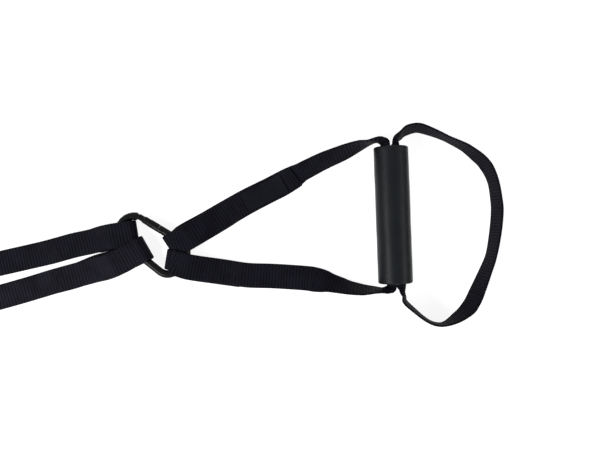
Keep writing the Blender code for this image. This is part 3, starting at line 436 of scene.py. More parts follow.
def fold(spot, low_first, low, high, flip):
    """Sections round a fold, from its lower layer to its upper one, or the other way round."""
    x, y, degrees, gather = spot
    turn = math.radians(degrees)
    out = Vector((math.cos(turn), math.sin(turn), 0))
    radius = (high - low) / 2
    middle = Vector((x, y, (high + low) / 2)) - out * (radius + WEB_THICKNESS / 2)
    found = []
    for i in range(FOLD_STEPS + 1):
        angle = math.pi * (i / FOLD_STEPS - 0.5) * (1 if low_first else -1)
        point = middle + out * (radius * math.cos(angle)) + Vector((0, 0, radius * math.sin(angle)))
        found.append(Section(point, Vector((-out.y, out.x, 0)) * flip, 0, gather))
    return found


def line(points, flip=1):
    """Sections along a level line, with their width on its left for flip 1."""
    found = []
    for i, point in enumerate(points):
        along = Vector(points[min(i + 1, len(points) - 1)]) - Vector(points[max(i - 1, 0)])
        found.append(Section(point, Vector((-along.y, along.x, 0)) * flip))
    return found


def leaning(rows):
    """Sections between an outer and an inner edge."""
    return [Section((Vector(a) + Vector(b)) / 2, Vector(a) - Vector(b)) for a, b in rows]


def bends(rows, lean=0):
    """Sections that stand on edge, the top edge leaning sideways by a share of the height."""
    return [Section(row[:3], Vector((0, 0, 1)) + grip_right * lean, row[3]) for row in rows]


def at_reach(sections, x):
    """The section where the webbing crosses x."""
    for a, b in zip(sections, sections[1:]):
        low, high = sorted((a.centre.x, b.centre.x))
        if low <= x <= high and high > low:
            share = (x - a.centre.x) / (b.centre.x - a.centre.x)
            found = Section(a.centre.lerp(b.centre, share), a.across.lerp(b.across, share))
            found.normal = a.normal.lerp(b.normal, share).normalized()
            return found
    return sections[-1]


def lying_on(sections, reach, height, count, aside=(0, 0)):
    """Sections of a layer that lies on the webbing, from one x to another."""
    found = []
    for i in range(count):
        share = i / (count - 1)
        here = at_reach(sections, reach[0] + (reach[1] - reach[0]) * share)
        here = here.lifted(height if here.normal.z > 0 else -height)
        here.centre -= here.across * (aside[0] + (aside[1] - aside[0]) * share)
        found.append(here)
    return found


grip_down = (GRIP_BOTTOM - GRIP_TOP).normalized()
grip_right = Vector((-grip_down.y, grip_down.x, 0))
grip_length = (GRIP_BOTTOM - GRIP_TOP).length
grip_middle = (GRIP_TOP + GRIP_BOTTOM) / 2


def in_bore(side, shares):
    """Sections in the grip's bore, curled against its left wall for side -1 and its right one for 1."""
    found = []
    for share in shares:
        spread = BORE_SPREAD * max(math.sin(math.pi * share), 0)
        aside = side * (BORE_ARC_RADIUS + spread) + BORE_SKEW * (2 * share - 1)
        found.append(Section(GRIP_TOP + grip_down * (grip_length * share) + grip_right * aside, (0, 0, 1), 1))
    return found


buckle_place = Matrix.Translation(BUCKLE_AT) @ Matrix.Rotation(BUCKLE_TURN, 4, "Z")


def in_buckle(rows):
    return [buckle_place @ Vector((along, 0, height)) for along, height in rows]


upper_fold = fold(UPPER_FOLD, False, INNER_LOW, INNER_HIGH, -1)
upper_long = laid(upper_fold[-1:] + line(UPPER_LONG_NEAR_RING) + leaning(UPPER_LEG_EDGES))
upper_short = lying_on(upper_long, SHORT_REACH, LAYER_PITCH, SHORT_SECTIONS, SHORT_ASIDE)
handle_path = laid(
    upper_short[::-1]
    + line(UPPER_SHORT_NEAR_RING[::-1], -1)
    + upper_fold
    + line(UPPER_LONG_NEAR_RING)
    + leaning(UPPER_LEG_EDGES)
    + bends(HANDLE_TOP_BEND)
    + in_bore(-1, BORE_SHARES)
    + bends(HANDLE_BOTTOM_BEND)
    + leaning(LOWER_LEG_EDGES)
    + line(LOWER_LONG_NEAR_RING)
    + fold(LOWER_FOLD, False, FLAT_LIFT, OUTER_HIGH, 1)
    + line(LOWER_SHORT_NEAR_RING, -1)
)
foot_path = laid(
    bends(FOOT_TOP_BEND, FOOT_LEAN)
    + leaning(FOOT_LOOP_EDGES)
    + bends(FOOT_BOTTOM_BEND, FOOT_LEAN)
    + in_bore(1, BORE_SHARES[::-1]),
    True,
)
rear_low = REAR_BAR_HEIGHT - REAR_BAR_RADIUS - FREE_GAP - WEB_THICKNESS / 2
rear_high = REAR_BAR_HEIGHT + REAR_BAR_RADIUS + FREE_GAP + WEB_THICKNESS / 2
rear_fold = buckle_place @ Vector((REAR_BAR_AT - (rear_high - rear_low) / 2 - WEB_THICKNESS / 2, 0, 0))
rear_spot = (rear_fold.x, rear_fold.y, math.degrees(BUCKLE_TURN) + 180, 1)
buckle_path = laid(
    line(in_buckle(BUCKLE_FOLD_FROM), -1)
    + fold(rear_spot, False, rear_low, rear_high, -1)
    + line(in_buckle(BUCKLE_LOW_FROM))
    + line(BUCKLE_WEB_LONG[::-1])
    + fold(BUCKLE_WEB_FOLD, False, INNER_LOW, INNER_HIGH, 1)
    + line(BUCKLE_WEB_SHORT[::-1], -1)
)
load_path = laid(
    line(LOAD_WEB_SHORT)
    + fold(LOAD_WEB_FOLD, True, FLAT_LIFT, OUTER_HIGH, 1)
    + line(LOAD_WEB_LONG, -1)
    + fold(ANCHOR_FOLD, True, FLAT_LIFT, ANCHOR_HIGH, -1)
    + line(LOAD_WEB_RETURN)
    + line(in_buckle(TAIL_FROM))
)


# Finishes
class Finish:
    """A node material, with short ways to add steps to it."""

    def __init__(self, name, roughness, metallic=0, specular=0.5, sheen=0):
        self.made = bpy.data.materials.new(name)
        self.made.use_nodes = True
        self.nodes = self.made.node_tree.nodes
        self.shader = self.nodes["Principled BSDF"]
        self.shader.inputs["Roughness"].default_value = roughness
        self.shader.inputs["Metallic"].default_value = metallic
        self.shader.inputs["Specular IOR Level"].default_value = specular
        self.shader.inputs["Sheen Weight"].default_value = sheen

    def join(self, source, target):
        self.made.node_tree.links.new(source, target)

    def fill(self, step, values):
        for key, value in values.items():
            if isinstance(value, bpy.types.NodeSocket):
                self.join(value, step.inputs[key])
            else:
                step.inputs[key].default_value = value

    def maths(self, operation, *values):
        step = self.nodes.new("ShaderNodeMath")
        step.operation = operation
        self.fill(step, dict(enumerate(values)))
        return step.outputs[0]

    def noise(self, where, scale, detail=4, roughness=0.6):
        step = self.nodes.new("ShaderNodeTexNoise")
        self.fill(step, {"Vector": where, "Scale": scale, "Detail": detail, "Roughness": roughness})
        return step.outputs["Fac"]

    def cells(self, where, scale):
        step = self.nodes.new("ShaderNodeTexVoronoi")
        self.fill(step, {"Vector": where, "Scale": scale})
        return step.outputs["Distance"]

    def between(self, share, low, high, colours=None, from_low=0, from_high=1):
        """share's range turned into another range of values, or of colours."""
        step = self.nodes.new("ShaderNodeMapRange")
        self.fill(step, {"Value": share, "From Min": from_low, "From Max": from_high})
        self.fill(step, {"To Min": low, "To Max": high})
        if colours is None:
            return step.outputs[0]
        mix = self.nodes.new("ShaderNodeMix")
        mix.data_type = "RGBA"
        self.join(step.outputs[0], mix.inputs["Factor"])
        for socket, colour in zip([s for s in mix.inputs if s.type == "RGBA"], colours):
            socket.default_value = (*colour, 1)
        return next(s for s in mix.outputs if s.type == "RGBA")

    def object_place(self):
        return self.nodes.new("ShaderNodeTexCoord").outputs["Object"]

    def weave_place(self):
        """Where a point is across the webbing, from 0 to 1, and along it, in webbing widths."""
        step = self.nodes.new("ShaderNodeUVMap")
        step.uv_map = "weave"
        parts = self.nodes.new("ShaderNodeSeparateXYZ")
        self.join(step.outputs[0], parts.inputs[0])
        return step.outputs[0], parts.outputs[0], parts.outputs[1]

    def surface(self, colour, height, depth, roughness=None):
        self.join(colour, self.shader.inputs["Base Color"])
        if roughness is not None:
            self.join(roughness, self.shader.inputs["Roughness"])
        bump = self.nodes.new("ShaderNodeBump")
        self.fill(bump, {"Height": height, "Distance": depth, "Strength": 1.0})
        self.join(bump.outputs[0], self.shader.inputs["Normal"])
        return self.made


def woven(name, shaded_valley, lit_crest, ribs, warps, depth, sheen):
    """Woven webbing: cross ribs, warp threads that step half a rib from one to the next, fine fuzz, painted
    shade in the rib valleys and between the threads, painted light on the crests, and broad patches of
    painted sheen.
    """
    finish = Finish(name, 0.72, specular=0.05, sheen=sheen)
    finish.shader.inputs["Sheen Roughness"].default_value = 0.45
    finish.shader.inputs["Sheen Tint"].default_value = (0.55, 0.55, 0.75, 1)
    where, across, along = finish.weave_place()
    warp = finish.maths("MULTIPLY", across, warps)
    thread = finish.maths("ABSOLUTE", finish.maths("SINE", finish.maths("MULTIPLY", warp, math.pi)))
    step = finish.maths("MULTIPLY", finish.maths("MODULO", finish.maths("FLOOR", warp), 2.0), 0.5)
    rib = finish.maths("MULTIPLY", along, ribs)
    slanted = finish.maths("ADD", rib, finish.maths("MULTIPLY", step, 0.20))
    crest_of = finish.maths("ABSOLUTE", finish.maths("SINE", finish.maths("MULTIPLY", slanted, math.pi)))
    crests = finish.maths("MULTIPLY", crest_of, 0.75)
    relief = finish.maths("ADD", crests, finish.maths("MULTIPLY", thread, 0.25))
    # Broad random lighter and darker patches across the weave: painted sheen.
    patches = finish.noise(where, 1.3, 4)
    fuzz = finish.noise(where, 160, 2)
    light = finish.maths("MULTIPLY", relief, finish.between(patches, 0.50, 1.35, from_low=0.3, from_high=0.7))
    light = finish.maths("ADD", light, finish.between(fuzz, -0.12, 0.12))
    # The valley and crest colours are painted shade in the rib hollows and between the warp threads, and
    # painted light on the crests.
    colour = finish.between(light, 0, 1, (shaded_valley, lit_crest), from_low=0.2)
    height = finish.maths("ADD", relief, finish.maths("MULTIPLY", fuzz, 0.35))
    return finish.surface(colour, height, depth, finish.between(relief, 0.82, 0.62))


RIBS_A_WIDTH = WEB_WIDTH / RIB_PITCH
WARPS_A_WIDTH = 21
pale_web = woven(
    "pale_webbing",
    shaded_valley=(0.0022, 0.0022, 0.0038),
    lit_crest=(0.0128, 0.0123, 0.0198),
    ribs=RIBS_A_WIDTH,
    warps=WARPS_A_WIDTH,
    depth=0.00026,
    sheen=0.02,
)
deep_web = woven(
    "deep_webbing",
    shaded_valley=(0.0013, 0.0013, 0.0025),
    lit_crest=(0.0088, 0.0088, 0.0152),
    ribs=RIBS_A_WIDTH,
    warps=WARPS_A_WIDTH,
    depth=0.00026,
    sheen=0.02,
)
# A darker copy of the deep webbing for the foot loop: painted shade that takes back the lamp light on the
# loop's upright side.
shade_darkened_loop_web = woven(
    "shade_darkened_loop_webbing",
    shaded_valley=(0.0007, 0.0007, 0.0019),
    lit_crest=(0.0046, 0.0045, 0.0096),
    ribs=RIBS_A_WIDTH,
    warps=WARPS_A_WIDTH,
    depth=0.00022,
    sheen=0.01,
)
label_finish = woven(
    "label",
    shaded_valley=(0.0035, 0.0035, 0.0062),
    lit_crest=(0.0105, 0.0103, 0.0165),
    ribs=33,
    warps=40,
    depth=0.00008,
    sheen=0.02,
)


def thread_finish():
    """Twisted sewing thread with a fine grain."""
    finish = Finish("thread", 0.6, specular=0.1, sheen=0.03)
    where = finish.object_place()
    grain = finish.noise(where, 2600, 2)
    colour = finish.between(grain, 0, 1, ((0.0020, 0.0020, 0.0040), (0.0095, 0.0095, 0.0145)))
    return finish.surface(colour, grain, 0.00006)


def foam_finish():
    """Closed-cell foam: fine grain, small pores, faint darker patches from hands."""
    finish = Finish("grip_foam", 0.36, specular=0.115)
    where = finish.object_place()
    grain = finish.noise(where, 900, 5, 0.7)
    pores = finish.between(finish.cells(where, 1500), 0, 1, from_low=0.05, from_high=0.35)
    handled = finish.noise(where, 26, 4)
    tone = finish.maths("ADD", finish.between(handled, -0.35, 0.35, from_low=0.3, from_high=0.7), grain)
    colour = finish.between(tone, 0, 1, ((0.0034, 0.0046, 0.0064), (0.0070, 0.0090, 0.0110)))
    height = finish.maths("ADD", finish.maths("MULTIPLY", grain, 0.7), finish.maths("MULTIPLY", pores, 0.3))
    return finish.surface(colour, height, 0.00022, finish.between(handled, 0.30, 0.38))


def coated_steel(name, dark, light, roughness):
    """Black coating on forged steel: slight waves, fine grain and dull scuffs."""
    finish = Finish(name, roughness, specular=0.12)
    where = finish.object_place()
    waves = finish.noise(where, 120, 3)
    grain = finish.noise(where, 2400, 3, 0.7)
    scuffs = finish.between(finish.noise(where, 420, 6, 0.75), 0, 1, from_low=0.58, from_high=0.72)
    tone = finish.maths("ADD", finish.maths("MULTIPLY", waves, 0.6), finish.maths("MULTIPLY", scuffs, 0.5))
    colour = finish.between(tone, 0, 1, (dark, light))
    wavy = finish.between(waves, roughness - 0.05, roughness + 0.08)
    rough = finish.maths("ADD", wavy, finish.maths("MULTIPLY", scuffs, 0.12))
    height = finish.maths("ADD", waves, finish.maths("MULTIPLY", grain, 0.2))
    return finish.surface(colour, height, 0.00006, rough)


def plain_metal(name, dark, light, roughness):
    """Plated metal with fine drawn lines."""
    finish = Finish(name, roughness, metallic=1)
    where = finish.object_place()
    grain = finish.noise(where, 1800, 4, 0.7)
    colour = finish.between(grain, 0, 1, (dark, light))
    rough = finish.between(grain, roughness - 0.08, roughness + 0.12)
    return finish.surface(colour, grain, 0.00003, rough)


def moulded_plastic():
    """Moulded plastic with a fine grain and faint patches."""
    finish = Finish("core_plastic", 0.5, specular=0.4)
    where = finish.object_place()
    grain = finish.noise(where, 1400, 4, 0.65)
    patches = finish.noise(where, 60, 3)
    colour = finish.between(patches, 0, 1, ((0.011, 0.011, 0.012), (0.022, 0.022, 0.024)))
    return finish.surface(colour, grain, 0.00006, finish.between(grain, 0.42, 0.62))


thread = thread_finish()
foam = foam_finish()
hook_steel = coated_steel("hook_steel", (0.0010, 0.0012, 0.0014), (0.0034, 0.0040, 0.0042), 0.21)
buckle_steel = coated_steel("buckle_steel", (0.0014, 0.0016, 0.0018), (0.0060, 0.0064, 0.0068), 0.24)
pin_steel = plain_metal("pin_steel", (0.07, 0.07, 0.075), (0.15, 0.15, 0.155), 0.35)
spring_steel = plain_metal("spring_steel", (0.28, 0.28, 0.29), (0.46, 0.46, 0.47), 0.3)
core_plastic = moulded_plastic()


# Trees that grow what repeats
def tree_of(name, inputs):
    """A new tree with named inputs, its group input and its group output."""
    tree = bpy.data.node_groups.new(name, "GeometryNodeTree")
    tree.interface.new_socket("Geometry", in_out="INPUT", socket_type="NodeSocketGeometry")
    for label, kind in inputs:
        tree.interface.new_socket(label, in_out="INPUT", socket_type="NodeSocket" + kind)
    tree.interface.new_socket("Geometry", in_out="OUTPUT", socket_type="NodeSocketGeometry")
    return tree, tree.nodes.new("NodeGroupInput"), tree.nodes.new("NodeGroupOutput")


def tree_step(tree, kind, values=None, **settings):
    step = tree.nodes.new(kind)
    for key, value in settings.items():
        setattr(step, key, value)
    for key, value in (values or {}).items():
        if isinstance(value, bpy.types.NodeSocket):
            tree.links.new(value, step.inputs[key])
        else:
            step.inputs[key].default_value = value
    return step


def tree_maths(tree, operation, *values):
    return tree_step(tree, "ShaderNodeMath", dict(enumerate(values)), operation=operation).outputs[0]


def ended(tree, geometry, given, out):
    """Every tree ends by realising its instances and setting its finish."""
    real = tree_step(tree, "GeometryNodeRealizeInstances", {"Geometry": geometry})
    dressed = {"Geometry": real.outputs[0], "Material": given["Finish"]}
    painted = tree_step(tree, "GeometryNodeSetMaterial", dressed)
    tree.links.new(painted.outputs[0], out.inputs["Geometry"])
    return tree


def rib_tree():
    """Raises a cross rib every pitch along the webbing, lower at the selvedges."""
    inputs = (("Pitch", "Float"), ("Height", "Float"), ("Finish", "Material"))
    tree, given, out = tree_of("webbing ribs", inputs)
    given = given.outputs
    along = tree_step(tree, "GeometryNodeInputNamedAttribute", {"Name": "along"}, data_type="FLOAT")
    turns = tree_maths(tree, "DIVIDE", along.outputs[0], given["Pitch"])
    wave = tree_maths(tree, "SINE", tree_maths(tree, "MULTIPLY", turns, math.pi))
    level = tree_maths(tree, "SUBTRACT", tree_maths(tree, "ABSOLUTE", wave), RIB_LEVEL)
    full = tree_maths(tree, "MULTIPLY", level, given["Height"])
    share = tree_step(tree, "GeometryNodeInputNamedAttribute", {"Name": "rib share"}, data_type="FLOAT")
    rise = tree_maths(tree, "MULTIPLY", full, share.outputs[0])
    normal = tree_step(tree, "GeometryNodeInputNormal")
    shift = tree_step(tree, "ShaderNodeVectorMath", {0: normal.outputs[0], "Scale": rise}, operation="SCALE")
    raised = {"Geometry": given["Geometry"], "Offset": shift.outputs[0]}
    moved = tree_step(tree, "GeometryNodeSetPosition", raised)
    return ended(tree, moved.outputs[0], given, out)


def stitch_tree():
    """Lays one rounded stitch after another along the drawn lines."""
    sizes = [(label, "Float") for label in ("Stitch Pitch", "Stitch Length", "Thread")]
    tree, given, out = tree_of("stitches", sizes + [("Finish", "Material")])
    given = given.outputs
    drawn = tree_step(tree, "GeometryNodeMeshToCurve", {"Mesh": given["Geometry"]})
    spacing = {"Curve": drawn.outputs[0], "Length": given["Stitch Pitch"]}
    spots = tree_step(tree, "GeometryNodeCurveToPoints", spacing, mode="LENGTH")
    ball = tree_step(tree, "GeometryNodeMeshUVSphere", {"Segments": 8, "Rings": 5, "Radius": 0.5})
    measures = {0: given["Stitch Length"], 1: given["Thread"], 2: given["Thread"]}
    size = tree_step(tree, "ShaderNodeCombineXYZ", measures)
    tangent = {"Vector": spots.outputs["Tangent"]}
    facing = tree_step(tree, "FunctionNodeAlignRotationToVector", tangent, axis="X")
    laid_on = tree_step(
        tree,
        "GeometryNodeInstanceOnPoints",
        {
            "Points": spots.outputs["Points"],
            "Instance": ball.outputs["Mesh"],
            "Rotation": facing.outputs[0],
            "Scale": size.outputs[0],
        },
    )
    return ended(tree, laid_on.outputs[0], given, out)


ribs = rib_tree()
stitches = stitch_tree()


# Pieces
def shown(name, mesh):
    obj = bpy.data.objects.new(name, mesh)
    bpy.context.scene.collection.objects.link(obj)
    return obj


def plain(obj):
    """Turns the object's modifiers into its own mesh."""
    graph = bpy.context.evaluated_depsgraph_get()
    mesh = bpy.data.meshes.new_from_object(obj.evaluated_get(graph), depsgraph=graph)
    obj.modifiers.clear()
    obj.data = mesh
    return obj


def grown(name, mesh, tree, sizes):
    """The mesh after a tree has grown its detail, as a plain mesh again."""
    obj = shown(name, mesh)
    step = obj.modifiers.new("grown", "NODES")
    step.node_group = tree
    for socket in tree.interface.items_tree:
        if socket.name in sizes:
            step[socket.identifier] = sizes[socket.name]
    return plain(obj)


def finished(obj, body, slot, *nodes):
    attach(obj, body)
    if nodes:
        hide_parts(*nodes)


def around(width, thickness):
    """The outline of a webbing as shares of its width and heights, round once."""
    edge = thickness / 2
    flat = (width - thickness) / width
    shares = [flat * (i / (FACE_POINTS - 1) - 0.5) for i in range(FACE_POINTS)]
    outline = [(share, edge) for share in shares]
    for turn in SELVEDGE_TURNS:
        angle = math.radians(turn)
        outline.append((flat / 2 + edge / width * math.cos(angle), edge * math.sin(angle)))
    outline += [(share, -edge) for share in shares[::-1]]
    for turn in SELVEDGE_TURNS[::-1]:
        angle = math.radians(turn)
        outline.append((-flat / 2 - edge / width * math.cos(angle), edge * math.sin(angle)))
    return outline


def strap(name, path, closed=False, width=WEB_WIDTH, thickness=WEB_THICKNESS):
    """A webbing's mesh with rounded selvedges, its weave map and its distance along."""
    bm = bmesh.new()
    weave = bm.loops.layers.uv.new("weave")
    reach_of = bm.verts.layers.float.new("along")
    rise_of = bm.verts.layers.float.new("rib share")
    outline = around(width, thickness)
    rows = []
    for here, reach, total in fine(path, closed):
        row = []
        for share, height in outline:
            spot = here.place(share, height, width) + VIEW_CENTRE
            spot.z = max(spot.z, TABLE_GAP)
            vert = bm.verts.new(spot)
            vert[reach_of] = reach
            on_face = abs(height) == thickness / 2 and abs(share) < FLAT_SHARE
            vert[rise_of] = 1 if on_face else EDGE_RIB_SHARE
            row.append(vert)
        rows.append((row, reach, total))
    count = len(outline)
    for i in range(len(rows) if closed else len(rows) - 1):
        near, near_at, total = rows[i]
        far, far_at, _ = rows[(i + 1) % len(rows)]
        far_at = far_at if far_at > near_at else total
        for j in range(count):
            k = (j + 1) % count
            face = bm.faces.new((near[k], near[j], far[j], far[k]))
            face.smooth = True
            places = ((k, near_at), (j, near_at), (j, far_at), (k, far_at))
            for loop, (corner, at) in zip(face.loops, places):
                loop[weave].uv = (outline[corner][0] + 0.5, at / WEB_WIDTH)
    if not closed:
        for row, at, _ in (rows[0], rows[-1]):
            face = bm.faces.new(row)
            for loop, (share, _) in zip(face.loops, outline):
                loop[weave].uv = (share + 0.5, at / WEB_WIDTH)
            bmesh.ops.triangulate(bm, faces=[face])
    bmesh.ops.recalc_face_normals(bm, faces=bm.faces)
    mesh = bpy.data.meshes.new(name)
    bm.to_mesh(mesh)
    bm.free()
    return mesh


WEBBINGS = (
    ("handle_webbing", handle_path, False, deep_web, "handle", "handle_strap"),
    ("foot_webbing", foot_path, True, shade_darkened_loop_web, "foot", "foot_loop"),
    ("load_webbing", load_path, False, pale_web, "strap", "load_strap"),
    ("buckle_webbing", buckle_path, False, deep_web, "strap", "buckle_strap"),
)
for name, path, closed, finish, body, node in WEBBINGS:
    rib_sizes = {"Pitch": RIB_PITCH, "Height": RIB_HEIGHT, "Finish": finish}
    finished(grown(name, strap(name, path, closed), ribs, rib_sizes), body, "webbing", node)

doubled = list(itertools.takewhile(lambda here: here.centre.x > SHORT_REACH[0], handle_path))
label_path = lying_on(doubled, (LABEL_SPAN[1],) * 2, LABEL_LIFT, 2)[:1]
label_path += [here.lifted(-LABEL_LIFT) for here in doubled if LABEL_SPAN[0] < here.centre.x < LABEL_SPAN[1]]
label_path += lying_on(doubled, (LABEL_SPAN[0],) * 2, LABEL_LIFT, 2)[:1]
label_sizes = {"Pitch": LABEL_RIB_PITCH, "Height": LABEL_RIB_HEIGHT, "Finish": label_finish}
label_strip = strap("label_patch", label_path, False, LABEL_WIDTH, LABEL_THICKNESS)
label = grown("label_patch", label_strip, ribs, label_sizes)
finished(label, "handle", "label", "label")


def drawn_lines(name, lines):
    """A mesh of open lines for the stitches to follow."""
    bm = bmesh.new()
    for points in lines:
        verts = [bm.verts.new(point + VIEW_CENTRE) for point in points]
        for a, b in zip(verts, verts[1:]):
            bm.edges.new((a, b))
    mesh = bpy.data.meshes.new(name)
    bm.to_mesh(mesh)
    bm.free()
    return mesh


def bar_tack(path, reach):
    """Close zigzag rows across the webbing, from one x to another."""
    seam_share = SEAM_WIDTH / WEB_WIDTH
    lines = []
    for row in range(TACK_ROWS):
        here = at_reach(path, reach[0] + (reach[1] - reach[0]) * (row + 0.5) / TACK_ROWS)
        here = here.lifted(STITCH_LIFT if here.normal.z > 0 else -STITCH_LIFT)
        along = here.across.cross(here.normal) * ((reach[1] - reach[0]) / TACK_ROWS * TACK_SWING)
        points = []
        for i in range(TACK_POINTS + 1):
            spot = here.place((i / TACK_POINTS - 0.5) * seam_share, 0, WEB_WIDTH)
            points.append(spot + along * (1 if i % 2 else -1))
        lines.append(points)
    return lines


lower_long = laid(line(LOWER_LONG_NEAR_RING))
load_long = laid(line(LOAD_WEB_LONG, -1))
buckle_long = laid(line(BUCKLE_WEB_LONG, -1))
SEAMS = (
    ("upper_stitching", upper_short, (-0.0690, -0.0610), "handle", "seam_handle_upper"),
    ("lower_stitching", lower_long, (-0.0680, -0.0600), "handle", "seam_handle_lower"),
    ("load_stitching", load_long, (-0.2470, -0.2390), "strap", "seam_load"),
    ("buckle_stitching", buckle_long, (-0.2490, -0.2410), "strap", "seam_buckle"),
)
STITCH_SIZES = {"Stitch Pitch": 0.0021, "Stitch Length": 0.0023, "Thread": 0.0007, "Finish": thread}
for name, path, reach, body, node in SEAMS:
    lines = drawn_lines(name, bar_tack(path, reach))
    finished(grown(name, lines, stitches, STITCH_SIZES), body, "thread", node)


# The foam grip
def grip_mesh(name, rows, facets):
    """A soft tube about the grip's axis, with slight hand-worn unevenness."""
    turned = grip_down.to_track_quat("Z", "X").to_matrix().to_4x4()
    place = Matrix.Translation(grip_middle + VIEW_CENTRE) @ turned
    bm = bmesh.new()
    lines = []
    for facet in range(facets):
        turn = math.tau * facet / facets
        side = Vector((math.cos(turn), math.sin(turn), 0))
        points = []
        for along, radius in rows:
            spot = side * radius + Vector((0, 0, along))
            if radius > GRIP_RADIUS - GRIP_EDGE_ROUND:
                spot += side * (noise.noise(spot * FOAM_WAVES) * FOAM_UNEVENNESS - FOAM_SINK)
            points.append(bm.verts.new(place @ spot))
        lines.append(points)
    for i, points in enumerate(lines):
        after = lines[(i + 1) % facets]
        for j in range(len(rows)):
            k = (j + 1) % len(rows)
            bm.faces.new((points[j], points[k], after[k], after[j])).smooth = True
    bmesh.ops.recalc_face_normals(bm, faces=bm.faces)
    mesh = bpy.data.meshes.new(name)
    bm.to_mesh(mesh)
    bm.free()
    return mesh


half = grip_length / 2
outer = []
for step in range(GRIP_EDGE_STEPS + 1):
    turn = math.pi / 2 * step / GRIP_EDGE_STEPS
    end = -half + GRIP_EDGE_ROUND * (1 - math.sin(turn))
    outer.append((end, GRIP_RADIUS - GRIP_EDGE_ROUND * (1 - math.cos(turn))))
outer = [(-half, FOAM_INNER_RADIUS + GRIP_MOUTH_EASE)] + outer[::-1]
middle_rows = [
    (-half + GRIP_EDGE_ROUND + (grip_length - 2 * GRIP_EDGE_ROUND) * i / GRIP_ROWS, GRIP_RADIUS)
    for i in range(1, GRIP_ROWS)
]
inner = [(along, FOAM_INNER_RADIUS) for along in (half - GRIP_MOUTH_EASE, 0, -half + GRIP_MOUTH_EASE)]
foam_rows = outer + middle_rows + [(-along, radius) for along, radius in outer[::-1]] + inner
grip = shown("foam_grip", grip_mesh("foam_grip", foam_rows, GRIP_FACETS))
grip.data.materials.append(foam)
finished(grip, "grip", "foam", "grip_foam")


# Metal and plastic pieces
def eased(node, width, finish):
    """A CAD node's own shape with its sharp edges eased."""
    source = frame["nodes"][node]
    bm = bmesh.new()
    bm.from_mesh(source.data)
    bm.transform(source.matrix_world)
    bmesh.ops.remove_doubles(bm, verts=bm.verts, dist=SAME_SPOT)
    bmesh.ops.dissolve_limit(bm, angle_limit=FLAT_BELOW, verts=bm.verts, edges=bm.edges)
    mesh = bpy.data.meshes.new(node + "_eased")
    bm.to_mesh(mesh)
    bm.free()
    obj = shown(node + "_eased", mesh)
    mesh.materials.clear()
    mesh.materials.append(finish)
    bevel = obj.modifiers.new("eased", "BEVEL")
    bevel.width = width
    bevel.segments = EASE_STEPS
    bevel.limit_method = "ANGLE"
    bevel.angle_limit = EASED_FROM
    plain(obj)
    obj.data.shade_smooth()
    obj.data.set_sharp_from_angle(angle=SHARP_FROM)
    finished(obj, source["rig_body"], "steel", node)


EASED = (
    ("handle_carabiner_body", HOOK_EASE, hook_steel),
    ("handle_carabiner_gate", HOOK_EASE, hook_steel),
    ("anchor_carabiner_body", HOOK_EASE, hook_steel),
    ("anchor_carabiner_gate", HOOK_EASE, hook_steel),
    ("buckle_frame", BUCKLE_EASE, buckle_steel),
    ("buckle_cam", BUCKLE_EASE, buckle_steel),
)
for node, width, finish in EASED:
    eased(node, width, finish)
KEPT = {
    "handle_carabiner_pin": hook_steel,
    "anchor_carabiner_pin": hook_steel,
    "buckle_pin": pin_steel,
    "handle_carabiner_spring": spring_steel,
    "anchor_carabiner_spring": spring_steel,
    "buckle_spring": spring_steel,
    "grip_core": core_plastic,
}
for node, finish in KEPT.items():
    for slot in frame["nodes"][node].material_slots:
        slot.material = finish


# Floor, light and camera
def looked_at(nodes, links):
    """One for the rays of the camera, of a reflection and of a transmission, and zero for the others."""
    seen = nodes.new("ShaderNodeLightPath")
    found = seen.outputs["Is Camera Ray"]
    for other in ("Is Glossy Ray", "Is Transmission Ray"):
        either = nodes.new("ShaderNodeMath")
        either.operation = "MAXIMUM"
        links.new(found, either.inputs[0])
        links.new(seen.outputs[other], either.inputs[1])
        found = either.outputs[0]
    return found


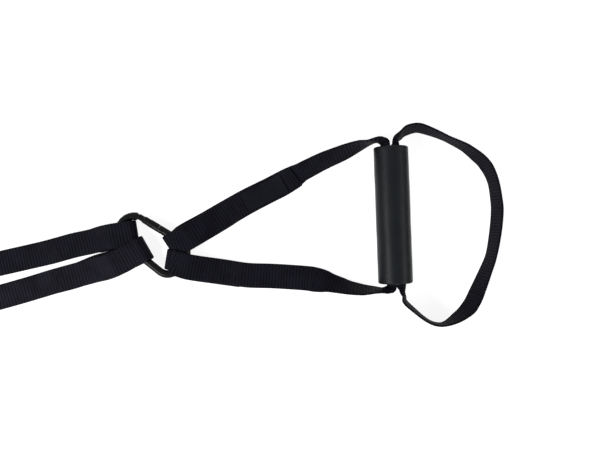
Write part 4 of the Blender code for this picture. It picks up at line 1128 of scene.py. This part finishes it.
def pale_floor():
    """White where the camera or a reflection looks at it, and it keeps the shadow."""
    made = bpy.data.materials.new("pale_floor")
    made.use_nodes = True
    nodes, links = made.node_tree.nodes, made.node_tree.links
    shader = nodes["Principled BSDF"]
    shader.inputs["Base Color"].default_value = FLOOR_GREY
    shader.inputs["Roughness"].default_value = 1
    shader.inputs["Specular IOR Level"].default_value = 0
    glow = nodes.new("ShaderNodeEmission")
    both = nodes.new("ShaderNodeAddShader")
    choice = nodes.new("ShaderNodeMixShader")
    links.new(shader.outputs[0], both.inputs[0])
    links.new(glow.outputs[0], both.inputs[1])
    glow.inputs["Strength"].default_value = FLOOR_GLOW
    links.new(looked_at(nodes, links), choice.inputs[0])
    links.new(shader.outputs[0], choice.inputs[1])
    links.new(both.outputs[0], choice.inputs[2])
    links.new(choice.outputs[0], nodes["Material Output"].inputs["Surface"])
    return made


bm = bmesh.new()
bmesh.ops.create_grid(bm, x_segments=8, y_segments=8, size=FLOOR_HALF_WIDTH)
floor_mesh = bpy.data.meshes.new("floor")
bm.to_mesh(floor_mesh)
bm.free()
floor_mesh.materials.append(pale_floor())
shown("floor", floor_mesh)

world = bpy.data.worlds.new("studio")
bpy.context.scene.world = world
world.use_nodes = True
sky_nodes, sky_links = world.node_tree.nodes, world.node_tree.links
sky_nodes["Background"].inputs["Color"].default_value = (1, 1, 1, 1)
level = sky_nodes.new("ShaderNodeMapRange")
level.inputs["To Min"].default_value = ROOM_LIGHT
level.inputs["To Max"].default_value = 1
sky_links.new(looked_at(sky_nodes, sky_links), level.inputs["Value"])
sky_links.new(level.outputs["Result"], sky_nodes["Background"].inputs["Strength"])


def softbox(name, place, power):
    """A long lamp that faces the middle of the view."""
    lamp = bpy.data.lights.new(name, "AREA")
    lamp.shape = "RECTANGLE"
    lamp.size, lamp.size_y = SOFTBOX_SIZE
    lamp.energy = power
    obj = shown(name, lamp)
    obj.location = VIEW_CENTRE + Vector(place)
    obj.rotation_euler = (-Vector(place)).to_track_quat("-Z", "Y").to_euler()


softbox("left_softbox", (-1.05, -0.55, 1.05), 24)
softbox("right_softbox", (1.30, -0.40, 0.80), 9)

lens = bpy.data.cameras.new("camera")
lens.sensor_width = 36
lens.lens = lens.sensor_width * CAMERA_HEIGHT / VIEW_WIDTH
lens.clip_start = 0.01
lens.clip_end = 50
camera = shown("camera", lens)
camera.location = VIEW_CENTRE + Vector((0, 0, CAMERA_HEIGHT))
bpy.context.scene.camera = camera
bpy.context.scene.view_settings.view_transform = "Standard"
